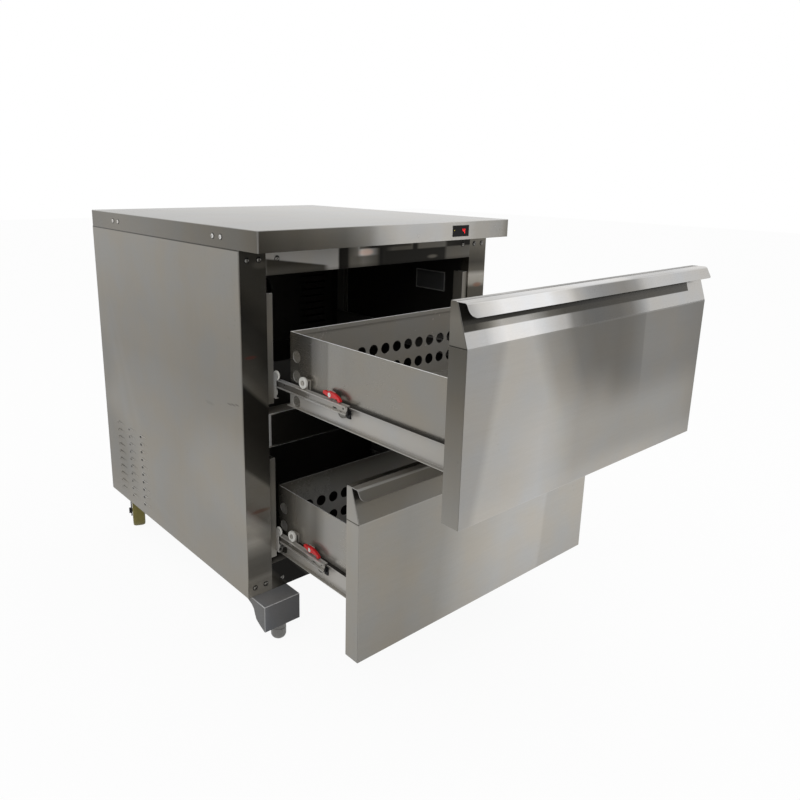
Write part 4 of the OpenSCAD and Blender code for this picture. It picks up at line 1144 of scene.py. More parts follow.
class Workpiece:
    """One piece of the freezer while it is shaped, in millimetres."""

    def __init__(self) -> None:
        """Starts an empty piece."""
        self.bm = bmesh.new()
        self.edge_highlight = self.bm.faces.layers.float.new(EDGE)

    @classmethod
    def copy_of(cls, node: str) -> "Workpiece":
        """Starts from the merged copy of a CAD node.

        Args:
            node: Name of the node.

        Returns:
            The piece.
        """
        piece = cls()
        piece.bm.from_mesh(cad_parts[node].data)
        piece.edge_highlight = piece.bm.faces.layers.float.get(EDGE) or piece.bm.faces.layers.float.new(EDGE)
        piece.bm.transform(Matrix.Translation((0, MIDDLE_Y, 0)) @ Matrix.Scale(1 / MM, 4))
        bmesh.ops.remove_doubles(piece.bm, verts=piece.bm.verts, dist=MERGE)
        bmesh.ops.dissolve_limit(piece.bm, angle_limit=FLAT_ANGLE, verts=piece.bm.verts,
                                 edges=piece.bm.edges)
        piece.number(piece.bm.faces, 0)
        return piece

    def block(self, low: Point, high: Point) -> list[bmesh.types.BMVert]:
        """Adds a box between two corners.

        Args:
            low: Its lowest corner.
            high: Its highest corner.

        Returns:
            Its corners.
        """
        a, b = Vector(low), Vector(high)
        place = Matrix.Translation((a + b) / 2) @ Matrix.Diagonal([*(b - a), 1.0])
        return bmesh.ops.create_cube(self.bm, size=1.0, matrix=place)["verts"]

    def thicken(self, faces: Iterable[bmesh.types.BMFace], way: Point) -> set[bmesh.types.BMFace]:
        """Draws flat faces out into a solid.

        Args:
            faces: The faces, which stay as its near side.
            way: How far they are drawn, each way.

        Returns:
            All faces of the solid.
        """
        near = list(faces)
        grown = bmesh.ops.extrude_face_region(self.bm, geom=near, use_keep_orig=True)["geom"]
        far = only(bmesh.types.BMVert, grown)
        bmesh.ops.translate(self.bm, verts=far, vec=way)
        made = faces_at(far) | set(near)
        self.outward(made)
        return made

    def prism(self, outline: Sequence[tuple[float, float]], x0: float, x1: float) -> None:
        """Draws an outline in Y and Z out along X.

        Args:
            outline: Its points.
            x0: Where it starts.
            x1: Where it ends.
        """
        face = self.bm.faces.new([self.bm.verts.new((x0, y, z)) for y, z in outline])
        self.thicken([face], (x1 - x0, 0, 0))

    def revolve(self, profile: Sequence[tuple[float, float]], middle: Point, axis: Point,
                steps: int = 36, closed: bool = True) -> list[bmesh.types.BMVert]:
        """Turns a profile about an axis.

        Args:
            profile: Points as distance along the axis and radius.
            middle: A point on the axis.
            axis: Its direction, along X, Y or Z.
            steps: Number of steps round.
            closed: Whether the profile closes on itself.

        Returns:
            The vertices of the turned shape.
        """
        way = Vector(axis)
        out = Vector((0, 0, 1)) if abs(way.z) < 0.5 else Vector((1, 0, 0))
        ring = [self.bm.verts.new(Vector(middle) + way * a + out * max(r, 0.0)) for a, r in profile]
        pairs = list(zip(ring, ring[1:] + ring[:1])) if closed else list(zip(ring, ring[1:]))
        edges = [self.bm.edges.new(p) for p in pairs]
        before = set(self.bm.faces)
        bmesh.ops.spin(self.bm, geom=ring + edges, cent=Vector(middle), axis=way,
                       angle=math.tau, steps=steps, use_merge=True, use_duplicate=False)
        faces = [f for f in self.bm.faces if f not in before]
        verts = list({v for f in faces for v in f.verts})
        bmesh.ops.remove_doubles(self.bm, verts=verts, dist=0.001)
        faces = [f for f in self.bm.faces if f not in before]
        self.outward(faces)
        return list({v for f in faces for v in f.verts})

    def outward(self, faces: Iterable[bmesh.types.BMFace]) -> None:
        """Points faces outwards."""
        bmesh.ops.recalc_face_normals(self.bm, faces=list(faces))

    def round_edges(self, edges: Sequence[bmesh.types.BMEdge], width: float,
                    segments: int = 2) -> None:
        """Rounds edges and marks the new faces for the painted edge highlight.

        Args:
            edges: The edges.
            width: Width of the rounding.
            segments: Its number of faces.
        """
        if not edges:
            return
        made = bmesh.ops.bevel(self.bm, geom=list(edges), offset=width, offset_type="OFFSET",
                               segments=segments, profile=0.5, affect="EDGES", clamp_overlap=True,
                               loop_slide=True, material=-1)
        for face in made["faces"]:
            face[self.edge_highlight] = 1.0

    def round_sharp(self, width: float, segments: int = 2,
                    test: Callable[[bmesh.types.BMEdge], bool] = lambda edge: True) -> None:
        """Rounds every sharp edge.

        Args:
            width: Width of the rounding.
            segments: Its number of faces.
            test: What an edge has to pass.
        """
        edges = [e for e in self.bm.edges
                 if e.is_manifold and e.calc_face_angle(0.0) > SHARP_ANGLE and test(e)]
        self.round_edges(edges, width, segments)

    def weaken_highlight(self, share: float) -> None:
        """Weakens the painted highlight on the rounded edges."""
        for face in self.bm.faces:
            face[self.edge_highlight] *= share

    def both_sides(self) -> None:
        """Repeats the whole piece on the right."""
        bmesh.ops.mirror(self.bm, geom=self.bm.verts[:] + self.bm.edges[:] + self.bm.faces[:],
                         merge_dist=-1.0, axis="X")
        self.outward(self.bm.faces)

    def number(self, faces: Iterable[bmesh.types.BMFace], number: int) -> None:
        """Gives faces the finish of that number."""
        for face in faces:
            face.material_index = number

    def paint(self, number: int, chosen: Callable[[Vector, Vector], bool]) -> None:
        """Gives the faces chosen by middle and normal the finish of that number."""
        self.number([f for f in self.bm.faces if chosen(f.calc_center_median(), f.normal)], number)

    def finish(self, name: str, body: str, slot: str, finishes: Sequence[Finish],
               replaces: Sequence[str] = ()) -> None:
        """Turns the piece into an object in the frame.

        Args:
            name: Name of the object.
            body: The CAD body that it rides on.
            slot: Not used.
            finishes: Its finishes.
            replaces: The CAD nodes that it stands for.
        """
        for face in self.bm.faces:
            face.smooth = True
        for edge in self.bm.edges:
            if len(edge.link_faces) == 2:
                a, b = edge.link_faces
                flat = edge.calc_face_angle(0.0) < SMOOTH_ANGLE
                edge.smooth = a[self.edge_highlight] == b[self.edge_highlight] and flat
        self.bm.transform(Matrix.Scale(MM, 4) @ Matrix.Translation((0, -MIDDLE_Y, 0)))
        mesh = bpy.data.meshes.new(name)
        self.bm.to_mesh(mesh)
        self.bm.free()
        for finish in finishes:
            mesh.materials.append(finish.material())
        piece = in_scene(name, mesh)
        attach(piece, body)
        if replaces:
            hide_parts(*replaces)
        LOG.info("%s: %d faces on %s", name, len(mesh.polygons), body)


def softened(node: str, body: str, slot: str, finish: Finish, width: float = 0.4,
             segments: int = 2) -> None:
    """Replaces a CAD node by its merged copy with rounded edges.

    Args:
        node: Name of the node.
        body: Its body.
        slot: Name of a material slot, handed on to Workpiece.finish.
        finish: Its finish.
        width: Width of the rounding.
        segments: Faces across the rounding.
    """
    piece = Workpiece.copy_of(node)
    piece.round_sharp(width, segments)
    piece.finish("dressed_" + node, body, slot, [finish], [node])


def dress_node(node: str, finish: Finish) -> None:
    """Gives a CAD node that stays as it is a better finish.

    Args:
        node: Name of the node.
        finish: The finish.
    """
    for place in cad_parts[node].material_slots:
        place.material = finish.material()
    LOG.info("%s keeps its CAD shape in %s", node, finish.name)


@dataclass
class Worktop:
    """The stainless worktop with its folded apron."""

    half: float = 355.0
    front: float = -67.0
    back: float = 733.0
    low: float = 845.0
    high: float = 886.0
    corner: float = 3.0
    edge: float = 1.3
    sheet: float = 1.2
    hem: float = 16.0
    hem_in: float = 4.0
    # Share of the painted edge highlight on the rounded corners
    corner_highlight: float = 0.4

    def build(self) -> None:
        """Builds the folded sheet and dresses the board in it."""
        piece = Workpiece()
        piece.block((-self.half, self.front, self.low), (self.half, self.back, self.high))
        upright = [e for e in piece.bm.edges
                   if abs(e.verts[0].co.z - e.verts[1].co.z) > 1]
        piece.round_edges(upright, self.corner, 5)
        piece.weaken_highlight(self.corner_highlight)
        rim = [e for e in piece.bm.edges
               if all(v.co.z > self.high - 0.1 for v in e.verts) and e.calc_face_angle(0) > 0.5]
        piece.round_edges(rim, self.edge, 3)
        floor = [f for f in piece.bm.faces if f.normal.z < -0.9]
        bmesh.ops.delete(piece.bm, geom=floor, context="FACES_ONLY")
        bmesh.ops.solidify(piece.bm, geom=piece.bm.faces[:], thickness=self.sheet)
        x, y = self.half - self.hem_in, self.front + self.sheet
        piece.block((-x, y - 0.3, self.low), (x, y + self.hem, self.low + self.sheet))
        piece.finish("worktop_sheet", "cabinet", "worktop_steel", [Finishes.worktop], ["worktop"])
        dress_node("worktop_board", Finishes.board)


@dataclass
class Screws:
    """Cross-recess screws on the front frame and on the apron's sides.

    Attributes:
        shadow_ring: Section of the dark ring that paints the shadow gap round each head, as distance
            along the screw and radius.
    """

    head: float = 4.0
    height: float = 1.8
    shoulder: float = 2.6
    cross: float = 1.7
    arm: float = 1.9
    recess: float = 0.9
    scale: float = 1.2
    shadow_ring: tuple[tuple[float, float], ...] = ((-0.2, 3.6), (0.4, 3.6), (0.4, 6.0), (-0.2, 6.0))
    post_x: tuple[float, ...] = (338.0, 311.0, 269.0)
    frame_z: tuple[float, ...] = (125.0, 825.0)
    apron_y: tuple[float, ...] = (66.0, 97.0, 564.0, 594.0)
    apron_z: float = 865.5
    half: float = 355.0

    def one_head(self, piece: Workpiece, turn: Matrix, number: int = 0) -> None:
        """Adds one head with its recess.

        Args:
            piece: The piece that holds all heads.
            turn: Place and turn of the head.
            number: Number of its finish.
        """
        bm = piece.bm
        old = set(bm.verts)
        top = bmesh.ops.create_grid(bm, x_segments=5, y_segments=5, size=self.cross)["verts"]
        bmesh.ops.translate(bm, verts=top, vec=(0, 0, self.height))
        for v in top:
            v.co.x *= self.arm if abs(v.co.x) < 0.5 else 1.0
            v.co.y *= self.arm if abs(v.co.y) < 0.5 else 1.0
        rim = [e for v in top for e in v.link_edges if e.is_boundary]
        cross = [f for f in faces_at(top) if min(abs(f.calc_center_median().x),
                                                 abs(f.calc_center_median().y)) < 0.1]
        place = Matrix.Translation((0, 0, self.height - 0.15)) @ turned(-36, "Z")
        ring = bmesh.ops.create_circle(bm, segments=20, radius=self.shoulder, cap_ends=False,
                                       matrix=place)["verts"]
        hoop = list({e for v in ring for e in v.link_edges})
        bmesh.ops.bridge_loops(bm, edges=list(set(rim)) + hoop)
        for radius, z in ((self.head - 0.25, self.height - 0.75), (self.head, 0.0)):
            grown = bmesh.ops.extrude_edge_only(bm, edges=hoop)["geom"]
            ring, hoop = only(bmesh.types.BMVert, grown), only(bmesh.types.BMEdge, grown)
            now = ring[0].co.xy.length
            bmesh.ops.scale(bm, verts=ring, vec=(radius / now, radius / now, 1))
            bmesh.ops.translate(bm, verts=ring, vec=(0, 0, z - ring[0].co.z))
        sunk = bmesh.ops.extrude_face_region(bm, geom=cross)["geom"]
        bmesh.ops.translate(bm, verts=only(bmesh.types.BMVert, sunk), vec=(0, 0, -self.recess))
        new = [v for v in bm.verts if v not in old]
        made = faces_at(new)
        piece.number(made, number)
        # The sunk cross takes the dark finish, which paints the shade in the recess
        piece.number(only(bmesh.types.BMFace, sunk), 1)
        piece.outward(made)
        bmesh.ops.transform(bm, matrix=turn @ Matrix.Scale(self.scale, 4), verts=new)

    def add_shadow_ring(self, piece: Workpiece, spot: Point, way: Point) -> None:
        """Adds the dark ring round one head, which paints the shadow gap under it."""
        piece.number(faces_at(piece.revolve(self.shadow_ring, spot, way, 24)), 1)

    def build(self) -> None:
        """Builds all heads as one piece."""
        piece = Workpiece()
        ahead = turned(90, "X")
        for side in (-1, 1):
            for number, x in enumerate(self.post_x):
                for z in self.frame_z:
                    spin = turned(23 + 31 * number + z % 90, "Z")
                    self.one_head(piece, Matrix.Translation((side * x, 0, z)) @ ahead @ spin)
                    self.add_shadow_ring(piece, (side * x, 0, z), (0, -1, 0))
            out = turned(90 * side, "Y")
            for y in self.apron_y:
                spin = turned(y % 80, "Z")
                spot = (side * self.half, y, self.apron_z)
                self.one_head(piece, Matrix.Translation(spot) @ out @ spin, 2)
                self.add_shadow_ring(piece, spot, (side, 0, 0))
        piece.finish("frame_screw_heads", "cabinet", "screw_steel",
                     [Finishes.screw, Finishes.screw_slot, Finishes.rivet], ["frame_screws"])


@dataclass
class Controller:
    """The temperature display in the apron, with one lit digit.

    Attributes:
        lamp: Section of the lamp, as distance along its axis and radius.
    """

    x: float = 186.0
    z: float = 865.0
    face_y: float = -68.5
    width: float = 52.0
    height: float = 25.0
    case: float = 45.0
    case_in: float = 2.3
    rim: float = 1.6
    sunk: float = 0.35
    raised: float = 0.25
    digit_x: float = 9.0
    digit_h: float = 12.0
    digit_w: float = 6.0
    stroke: float = 1.5
    lamp: tuple[tuple[float, float], ...] = ((0.0, 0.0), (0.0, 0.9), (0.5, 0.8), (0.6, 0.0))
    lamp_x: float = 4.2

    def bar(self, piece: Workpiece, x: float, z: float, length: float, flat: bool) -> None:
        """Adds one bar of the digit.

        Args:
            piece: The display.
            x: Middle of the bar.
            z: Middle of the bar.
            length: Its length.
            flat: Whether it lies flat.
        """
        size = (length / 2, self.stroke / 2) if flat else (self.stroke / 2, length / 2)
        turn = turned(90, "X") @ Matrix.Diagonal((*size, 1.0, 1.0))
        if not flat:
            turn = turn @ turned(90, "Z")
        place = Matrix.Translation((x, self.face_y + self.sunk, z)) @ turn
        verts = bmesh.ops.create_circle(piece.bm, cap_ends=True, segments=6, radius=1.0,
                                        matrix=place)["verts"]
        piece.number(piece.thicken(faces_at(verts), (0, -self.raised, 0)), 2)

    def build(self) -> None:
        """Builds the bezel, its sunk window, the digit and the lamp."""
        piece = Workpiece()
        w, h, back = self.width / 2, self.height / 2, self.face_y + 1.5
        verts = piece.block((self.x - w, self.face_y, self.z - h), (self.x + w, back, self.z + h))
        front = next(f for f in faces_at(verts) if f.normal.y < -0.9)
        outer = list(front.edges)
        bmesh.ops.inset_region(piece.bm, faces=[front], thickness=self.rim, depth=0.0)
        bmesh.ops.inset_region(piece.bm, faces=[front], thickness=0.5, depth=-0.6)
        front.material_index = 1
        piece.round_edges(outer, 0.6, 2)
        case_w, case_h = w - self.case_in, h - self.case_in
        piece.block((self.x - case_w, back, self.z - case_h),
                    (self.x + case_w, back + self.case, self.z + case_h))
        x, z, dw, dh = self.x + self.digit_x, self.z - 0.5, self.digit_w / 2, self.digit_h / 2
        self.bar(piece, x, z, self.digit_w, True)
        for bar_x, bar_z in ((x - dw, z + dh / 2), (x + dw, z + dh / 2), (x + dw, z - dh / 2)):
            self.bar(piece, bar_x, bar_z, dh * 0.92, False)
        spot = (self.x - w + self.lamp_x, self.face_y + 0.5, self.z + 1.5)
        piece.number(faces_at(piece.revolve(self.lamp, spot, (0, -1, 0), 12, False)), 3)
        piece.finish("display_window", "cabinet", "display_plastic",
                     [Finishes.black_plastic, Finishes.glass, Finishes.digit, Finishes.lamp],
                     ["controller"])


@dataclass
class Shell:
    """Side panels with their louvres, the back, the tray and the insulation.

    Attributes:
        slot_size: Scale of the dark discs, the painted shade of the openings, in each column.
        slot_half: Half their height and half their length, before they are scaled.
    """

    edge: float = 0.35
    half: float = 355.0
    slot_y: tuple[float, ...] = (511.0, 581.5, 652.0)
    slot_size: tuple[float, ...] = (1.45, 1.05, 0.5)
    slot_half: tuple[float, float] = (2.3, 3.0)
    slot_out: float = 2.24
    slot_turn: float = 3.27
    slot_z: float = 134.5
    slot_step: float = 21.0
    slot_rows: int = 10

    def slots(self) -> None:
        """Builds the small dark discs at the louvres' rear ends, the painted shade of their openings."""
        piece = Workpiece()
        stand = (turned(self.slot_turn, "Z") @ turned(-90, "Y")
                 @ Matrix.Diagonal((*self.slot_half, 1.0, 1.0)))
        slope = math.tan(math.radians(self.slot_turn))
        for rear, size in zip(self.slot_y, self.slot_size):
            ahead = (size - 1.0) * self.slot_half[1]
            x, y = -self.half - self.slot_out + ahead * slope, rear - ahead
            for row in range(self.slot_rows):
                place = (Matrix.Translation((x, y, self.slot_z + self.slot_step * row))
                         @ Matrix.Scale(size, 4))
                verts = bmesh.ops.create_circle(piece.bm, cap_ends=True, segments=10, radius=1.0,
                                                matrix=place @ stand)["verts"]
                bmesh.ops.inset_region(piece.bm, faces=list(faces_at(verts)), thickness=0.5,
                                       depth=-0.03)
                piece.outward(faces_at(verts))
        piece.both_sides()
        piece.finish("louvre_opening_shadows", "cabinet", "side_steel", [Finishes.louvre_slot])

    def build(self) -> None:
        """Builds and dresses the shell."""
        self.slots()
        for node in ("left_side_panel", "right_side_panel"):
            softened(node, "cabinet", "side_steel", Finishes.side, self.edge, 1)
        for node in ("rear_panel", "base_tray"):
            softened(node, "cabinet", "zinc", Finishes.galvanised, self.edge, 1)
        for node in ("side_insulation", "wall_insulation"):
            dress_node(node, Finishes.foam)


@dataclass
class FrontFrame:
    """The mirror-bright posts and rails round the drawers."""

    edge: float = 0.5

    def build(self) -> None:
        """Builds and dresses posts and rails."""
        chosen = {"left_front_post": Finishes.left_post, "right_front_post": Finishes.right_post,
                  "top_rail": Finishes.top_rail, "middle_rail": Finishes.middle_rail,
                  "bottom_rail": Finishes.bottom_rail}
        for node, finish in chosen.items():
            softened(node, "cabinet", "mirror_steel", finish, self.edge, 2)


@dataclass
class ColdRoom:
    """The liner, the slide uprights, the evaporator behind its cover and the bare plate."""

    plate_x: float = 294.0
    plate_low: tuple[float, float] = (78.0, 697.0)
    plate_high: tuple[float, float] = (182.0, 747.0)
    plate_thick: float = 1.0
    rim: float = 3.5

    def plate(self) -> None:
        """Builds the bare plate: a thin rim round a darker field."""
        piece = Workpiece()
        verts = piece.block((self.plate_x, *self.plate_low),
                            (self.plate_x + self.plate_thick, *self.plate_high))
        face = next(f for f in faces_at(verts) if f.normal.x < -0.9)
        piece.round_edges(list(face.edges), 0.3, 1)
        face = max((f for f in piece.bm.faces if f.normal.x < -0.9), key=lambda f: f.calc_area())
        bmesh.ops.inset_region(piece.bm, faces=[face], thickness=self.rim, depth=0.0)
        bmesh.ops.inset_region(piece.bm, faces=[face], thickness=0.4, depth=-0.35)
        face.material_index = 1
        piece.finish("bare_plate", "cabinet", "plate_metal",
                     [Finishes.plate_rim, Finishes.plate_field], ["rating_plate"])

    def build(self) -> None:
        """Builds and dresses the cold room."""
        dress_node("inner_liner", Finishes.liner)
        softened("slide_uprights", "cabinet", "zinc", Finishes.upright, 0.4, 2)
        softened("evaporator_cover", "cabinet", "liner_steel", Finishes.cover, 0.3, 1)
        dress_node("evaporator_coil", Finishes.fins)
        softened("evaporator_motor", "cabinet", "zinc", Finishes.dark_zinc, 0.4, 1)
        softened("evaporator_fan", "evaporator_fan", "black_plastic", Finishes.fan_plastic, 0.3, 1)
        self.plate()


@dataclass
class Machinery:
    """The compressor, its condenser and the tubes behind the rear louvres."""

    def build(self) -> None:
        """Builds and dresses the machinery."""
        softened("compressor", "cabinet", "black_paint", Finishes.black_paint, 1.2, 2)
        dress_node("condenser_coil", Finishes.fins)
        softened("condenser_shroud", "cabinet", "zinc", Finishes.dark_zinc, 0.4, 1)
        softened("condenser_fan", "condenser_fan", "black_plastic", Finishes.fan_plastic, 0.3, 1)
        dress_node("refrigerant_tubes", Finishes.copper)
        softened("power_inlet", "cabinet", "black_plastic", Finishes.black_plastic, 0.8, 2)


@dataclass
class Drawer:
    """One drawer: its front with the folded handle, its gasket and its box.

    Attributes:
        name: "upper" or "lower".
        back_y: Back plane of its front.
        low_z: Lower edge of its front.
        face: Finish of the face.
        slant: Finish of the slanted part.
        handle: Finish of the handle.
        box: Finish of the box.
        lip_corner: Radius of the lip's left corner.
        lip_square: Radius of its right corner.
        seam: Half the width of the seam between two flaps.
        gasket_section: Section of the bellows, as distance inwards and out of the front.
    """

    name: str
    back_y: float
    low_z: float
    face: Finish
    slant: Finish
    handle: Finish
    box: Finish
    half: float = 342.5
    depth: float = 34.0
    top_depth: float = 12.5
    bend: float = 270.0
    height: float = 334.0
    lip: float = 29.0
    lip_low: float = 40.0
    lip_drop: float = 20.0
    lip_corner: float = 13.0
    lip_square: float = 4.0
    sheet: float = 1.2
    flap: float = 0.4
    flap_in: float = 0.8
    seam: float = 0.8
    hem: float = 3.4
    hem_h: float = 9.0
    hem_in: float = 1.3
    hem_sunk: float = 1.0
    gasket_half: float = 329.5
    gasket_low: float = 4.0
    gasket_high: float = 321.0
    gasket_section: tuple[tuple[float, float], ...] = (
        (0.0, 0.0), (0.0, 2.4), (2.6, 3.8), (1.0, 6.8), (0.3, 10.2), (1.4, 12.7), (12.6, 12.7),
        (13.7, 10.2), (13.0, 6.8), (11.4, 3.8), (14.0, 2.4), (14.0, 0.0))
    # Shares of the painted edge highlight on the front's skin, on the fold and on the fold's cut rim
    skin_highlight: float = 0.6
    fold_highlight: float = 0.7
    rim_highlight: float = 0.6

    @property
    def body(self) -> str:
        """Name of the drawer's CAD body."""
        return self.name + "_drawer"

    def seat(self, piece: Workpiece) -> None:
        """Moves a piece that was built at the origin to the place of the drawer's front."""
        bmesh.ops.translate(piece.bm, verts=piece.bm.verts[:], vec=(0, self.back_y, self.low_z))

    def skin(self) -> None:
        """Builds the face, its slanted part and its end flaps with the seam at the bend."""
        piece = Workpiece()
        x = self.half - self.flap
        outline = [(0, 0), (-self.depth, 0), (-self.depth, self.bend),
                   (-self.top_depth, self.height), (0, self.height)]
        piece.prism(outline, -x, x)
        bends = [e for e in piece.bm.edges if abs(e.verts[0].co.x - e.verts[1].co.x) > 1
                 and e.verts[0].co.y < -30]
        piece.round_edges(bends, 1.6, 4)
        ends = [e for e in piece.bm.edges if e.calc_face_angle(0) > 1.2]
        piece.round_edges(ends, 0.5, 2)
        piece.weaken_highlight(self.skin_highlight)
        back = max((f for f in piece.bm.faces if f.normal.y > 0.9), key=lambda f: f.calc_area())
        bmesh.ops.inset_region(piece.bm, faces=[back], thickness=0.2, depth=-self.sheet - 0.05)
        rise = (self.height - self.bend) / (self.depth - self.top_depth)
        face, low, high = self.flap_in - self.depth, self.bend - self.seam, self.bend + self.seam
        lower = [(0, self.flap_in), (face, self.flap_in), (face, low), (0, low)]
        upper = [(0, high), (face + self.seam / rise + 0.5, high),
                 (-self.top_depth + 0.2, self.height - 1.4), (0, self.height - 1.4)]
        for flap in (lower, upper):
            for side in (-1, 1):
                near, far = side * (x - 0.2), side * self.half
                piece.prism(flap, min(near, far), max(near, far))
        piece.paint(1, lambda c, n: n.z > 0.2 and n.y < -0.5 and c.z > self.bend + 0.5)
        piece.paint(2, lambda c, n: abs(n.x) > 0.7)
        piece.paint(3, lambda c, n: n.y > 0.7)
        self.seat(piece)
        piece.finish(self.name + "_front_skin", self.body, "front_steel",
                     [self.face, self.slant, Finishes.front_end, Finishes.front_back],
                     [self.body + "_front"])

    def handle_fold(self) -> None:
        """Builds the fold at the top, bent down to a lip with round corners."""
        piece = Workpiece()
        x, z = self.half, self.height
        rows = [(-self.top_depth + 2, z), (-self.lip, z), (-self.lip_low, z - self.lip_drop)]
        grid = [[piece.bm.verts.new((side * x, y, h)) for side in (-1, 1)] for y, h in rows]
        for a, b in zip(grid, grid[1:]):
            piece.bm.faces.new((a[0], b[0], b[1], a[1]))
        for corner, radius in zip(grid[2], (self.lip_corner, self.lip_square)):
            bmesh.ops.bevel(piece.bm, geom=[corner], offset=radius, offset_type="OFFSET",
                            segments=8, profile=0.5, affect="VERTICES", material=-1)
        bend = [e for e in piece.bm.edges if len(e.link_faces) == 2]
        piece.round_edges(bend, 3.0, 5)
        piece.weaken_highlight(self.fold_highlight)
        top = next(f for f in piece.bm.faces if abs(f.normal.z) > 0.9)
        if top.normal.z < 0:
            bmesh.ops.reverse_faces(piece.bm, faces=piece.bm.faces[:])
        bmesh.ops.solidify(piece.bm, geom=piece.bm.faces[:], thickness=self.sheet)
        rim = [f for f in piece.bm.faces if f.calc_area() < 1000 and len(f.verts) == 4
               and min(e.calc_length() for e in f.edges) < self.sheet + 0.1]
        for face in rim:
            face[piece.edge_highlight] = self.rim_highlight
        self.seat(piece)
        piece.finish(self.name + "_handle_fold", self.body, "front_steel", [self.handle])

    def gasket(self) -> None:
        """Builds the bellows gasket from loops that are joined in turn."""
        piece = Workpiece()
        loops = []
        for inset, out in self.gasket_section:
            x, z0, z1 = self.gasket_half - inset, self.gasket_low + inset, self.gasket_high - inset
            loops.append([piece.bm.verts.new((px, out, pz)) for px, pz in
                          ((-x, z0), (x, z0), (x, z1), (-x, z1))])
        for a, b in zip(loops, loops[1:] + loops[:1]):
            for i in range(4):
                piece.bm.faces.new((a[i - 1], a[i], b[i], b[i - 1]))
        piece.outward(piece.bm.faces)
        self.seat(piece)
        piece.finish(self.name + "_gasket_bellows", self.body, "gasket_rubber", [Finishes.rubber],
                     [self.body + "_gasket"])

    def box_piece(self) -> None:
        """Dresses the box and adds the folded hem inside its rear edge."""
        piece = Workpiece.copy_of(self.body + "_box")
        piece.round_sharp(0.5, 2)
        spots = [v.co for v in piece.bm.verts]
        x, y, z = (max(c[i] for c in spots) for i in range(3))
        end = x - self.hem_in
        hem = piece.block((-end, y - self.hem, z - self.hem_h), (end, y - self.hem_sunk, z + 0.1))
        top = [e for v in hem for e in v.link_edges if all(w.co.z > z for w in e.verts)]
        piece.round_edges(list(set(top)), 0.6, 2)
        piece.finish(f"dressed_{self.body}_box", self.body, "box_steel", [self.box],
                     [self.body + "_box"])

    def build(self) -> None:
        """Builds and dresses the drawer."""
        self.skin()
        self.handle_fold()
        self.gasket()
        softened(self.body + "_inner_panel", self.body, "front_steel", Finishes.front_back, 0.3, 1)
        dress_node(self.body + "_foam", Finishes.foam)
        self.box_piece()
        softened(self.body + "_slides", self.body, "zinc", Finishes.drawer_slide, 0.35, 2)


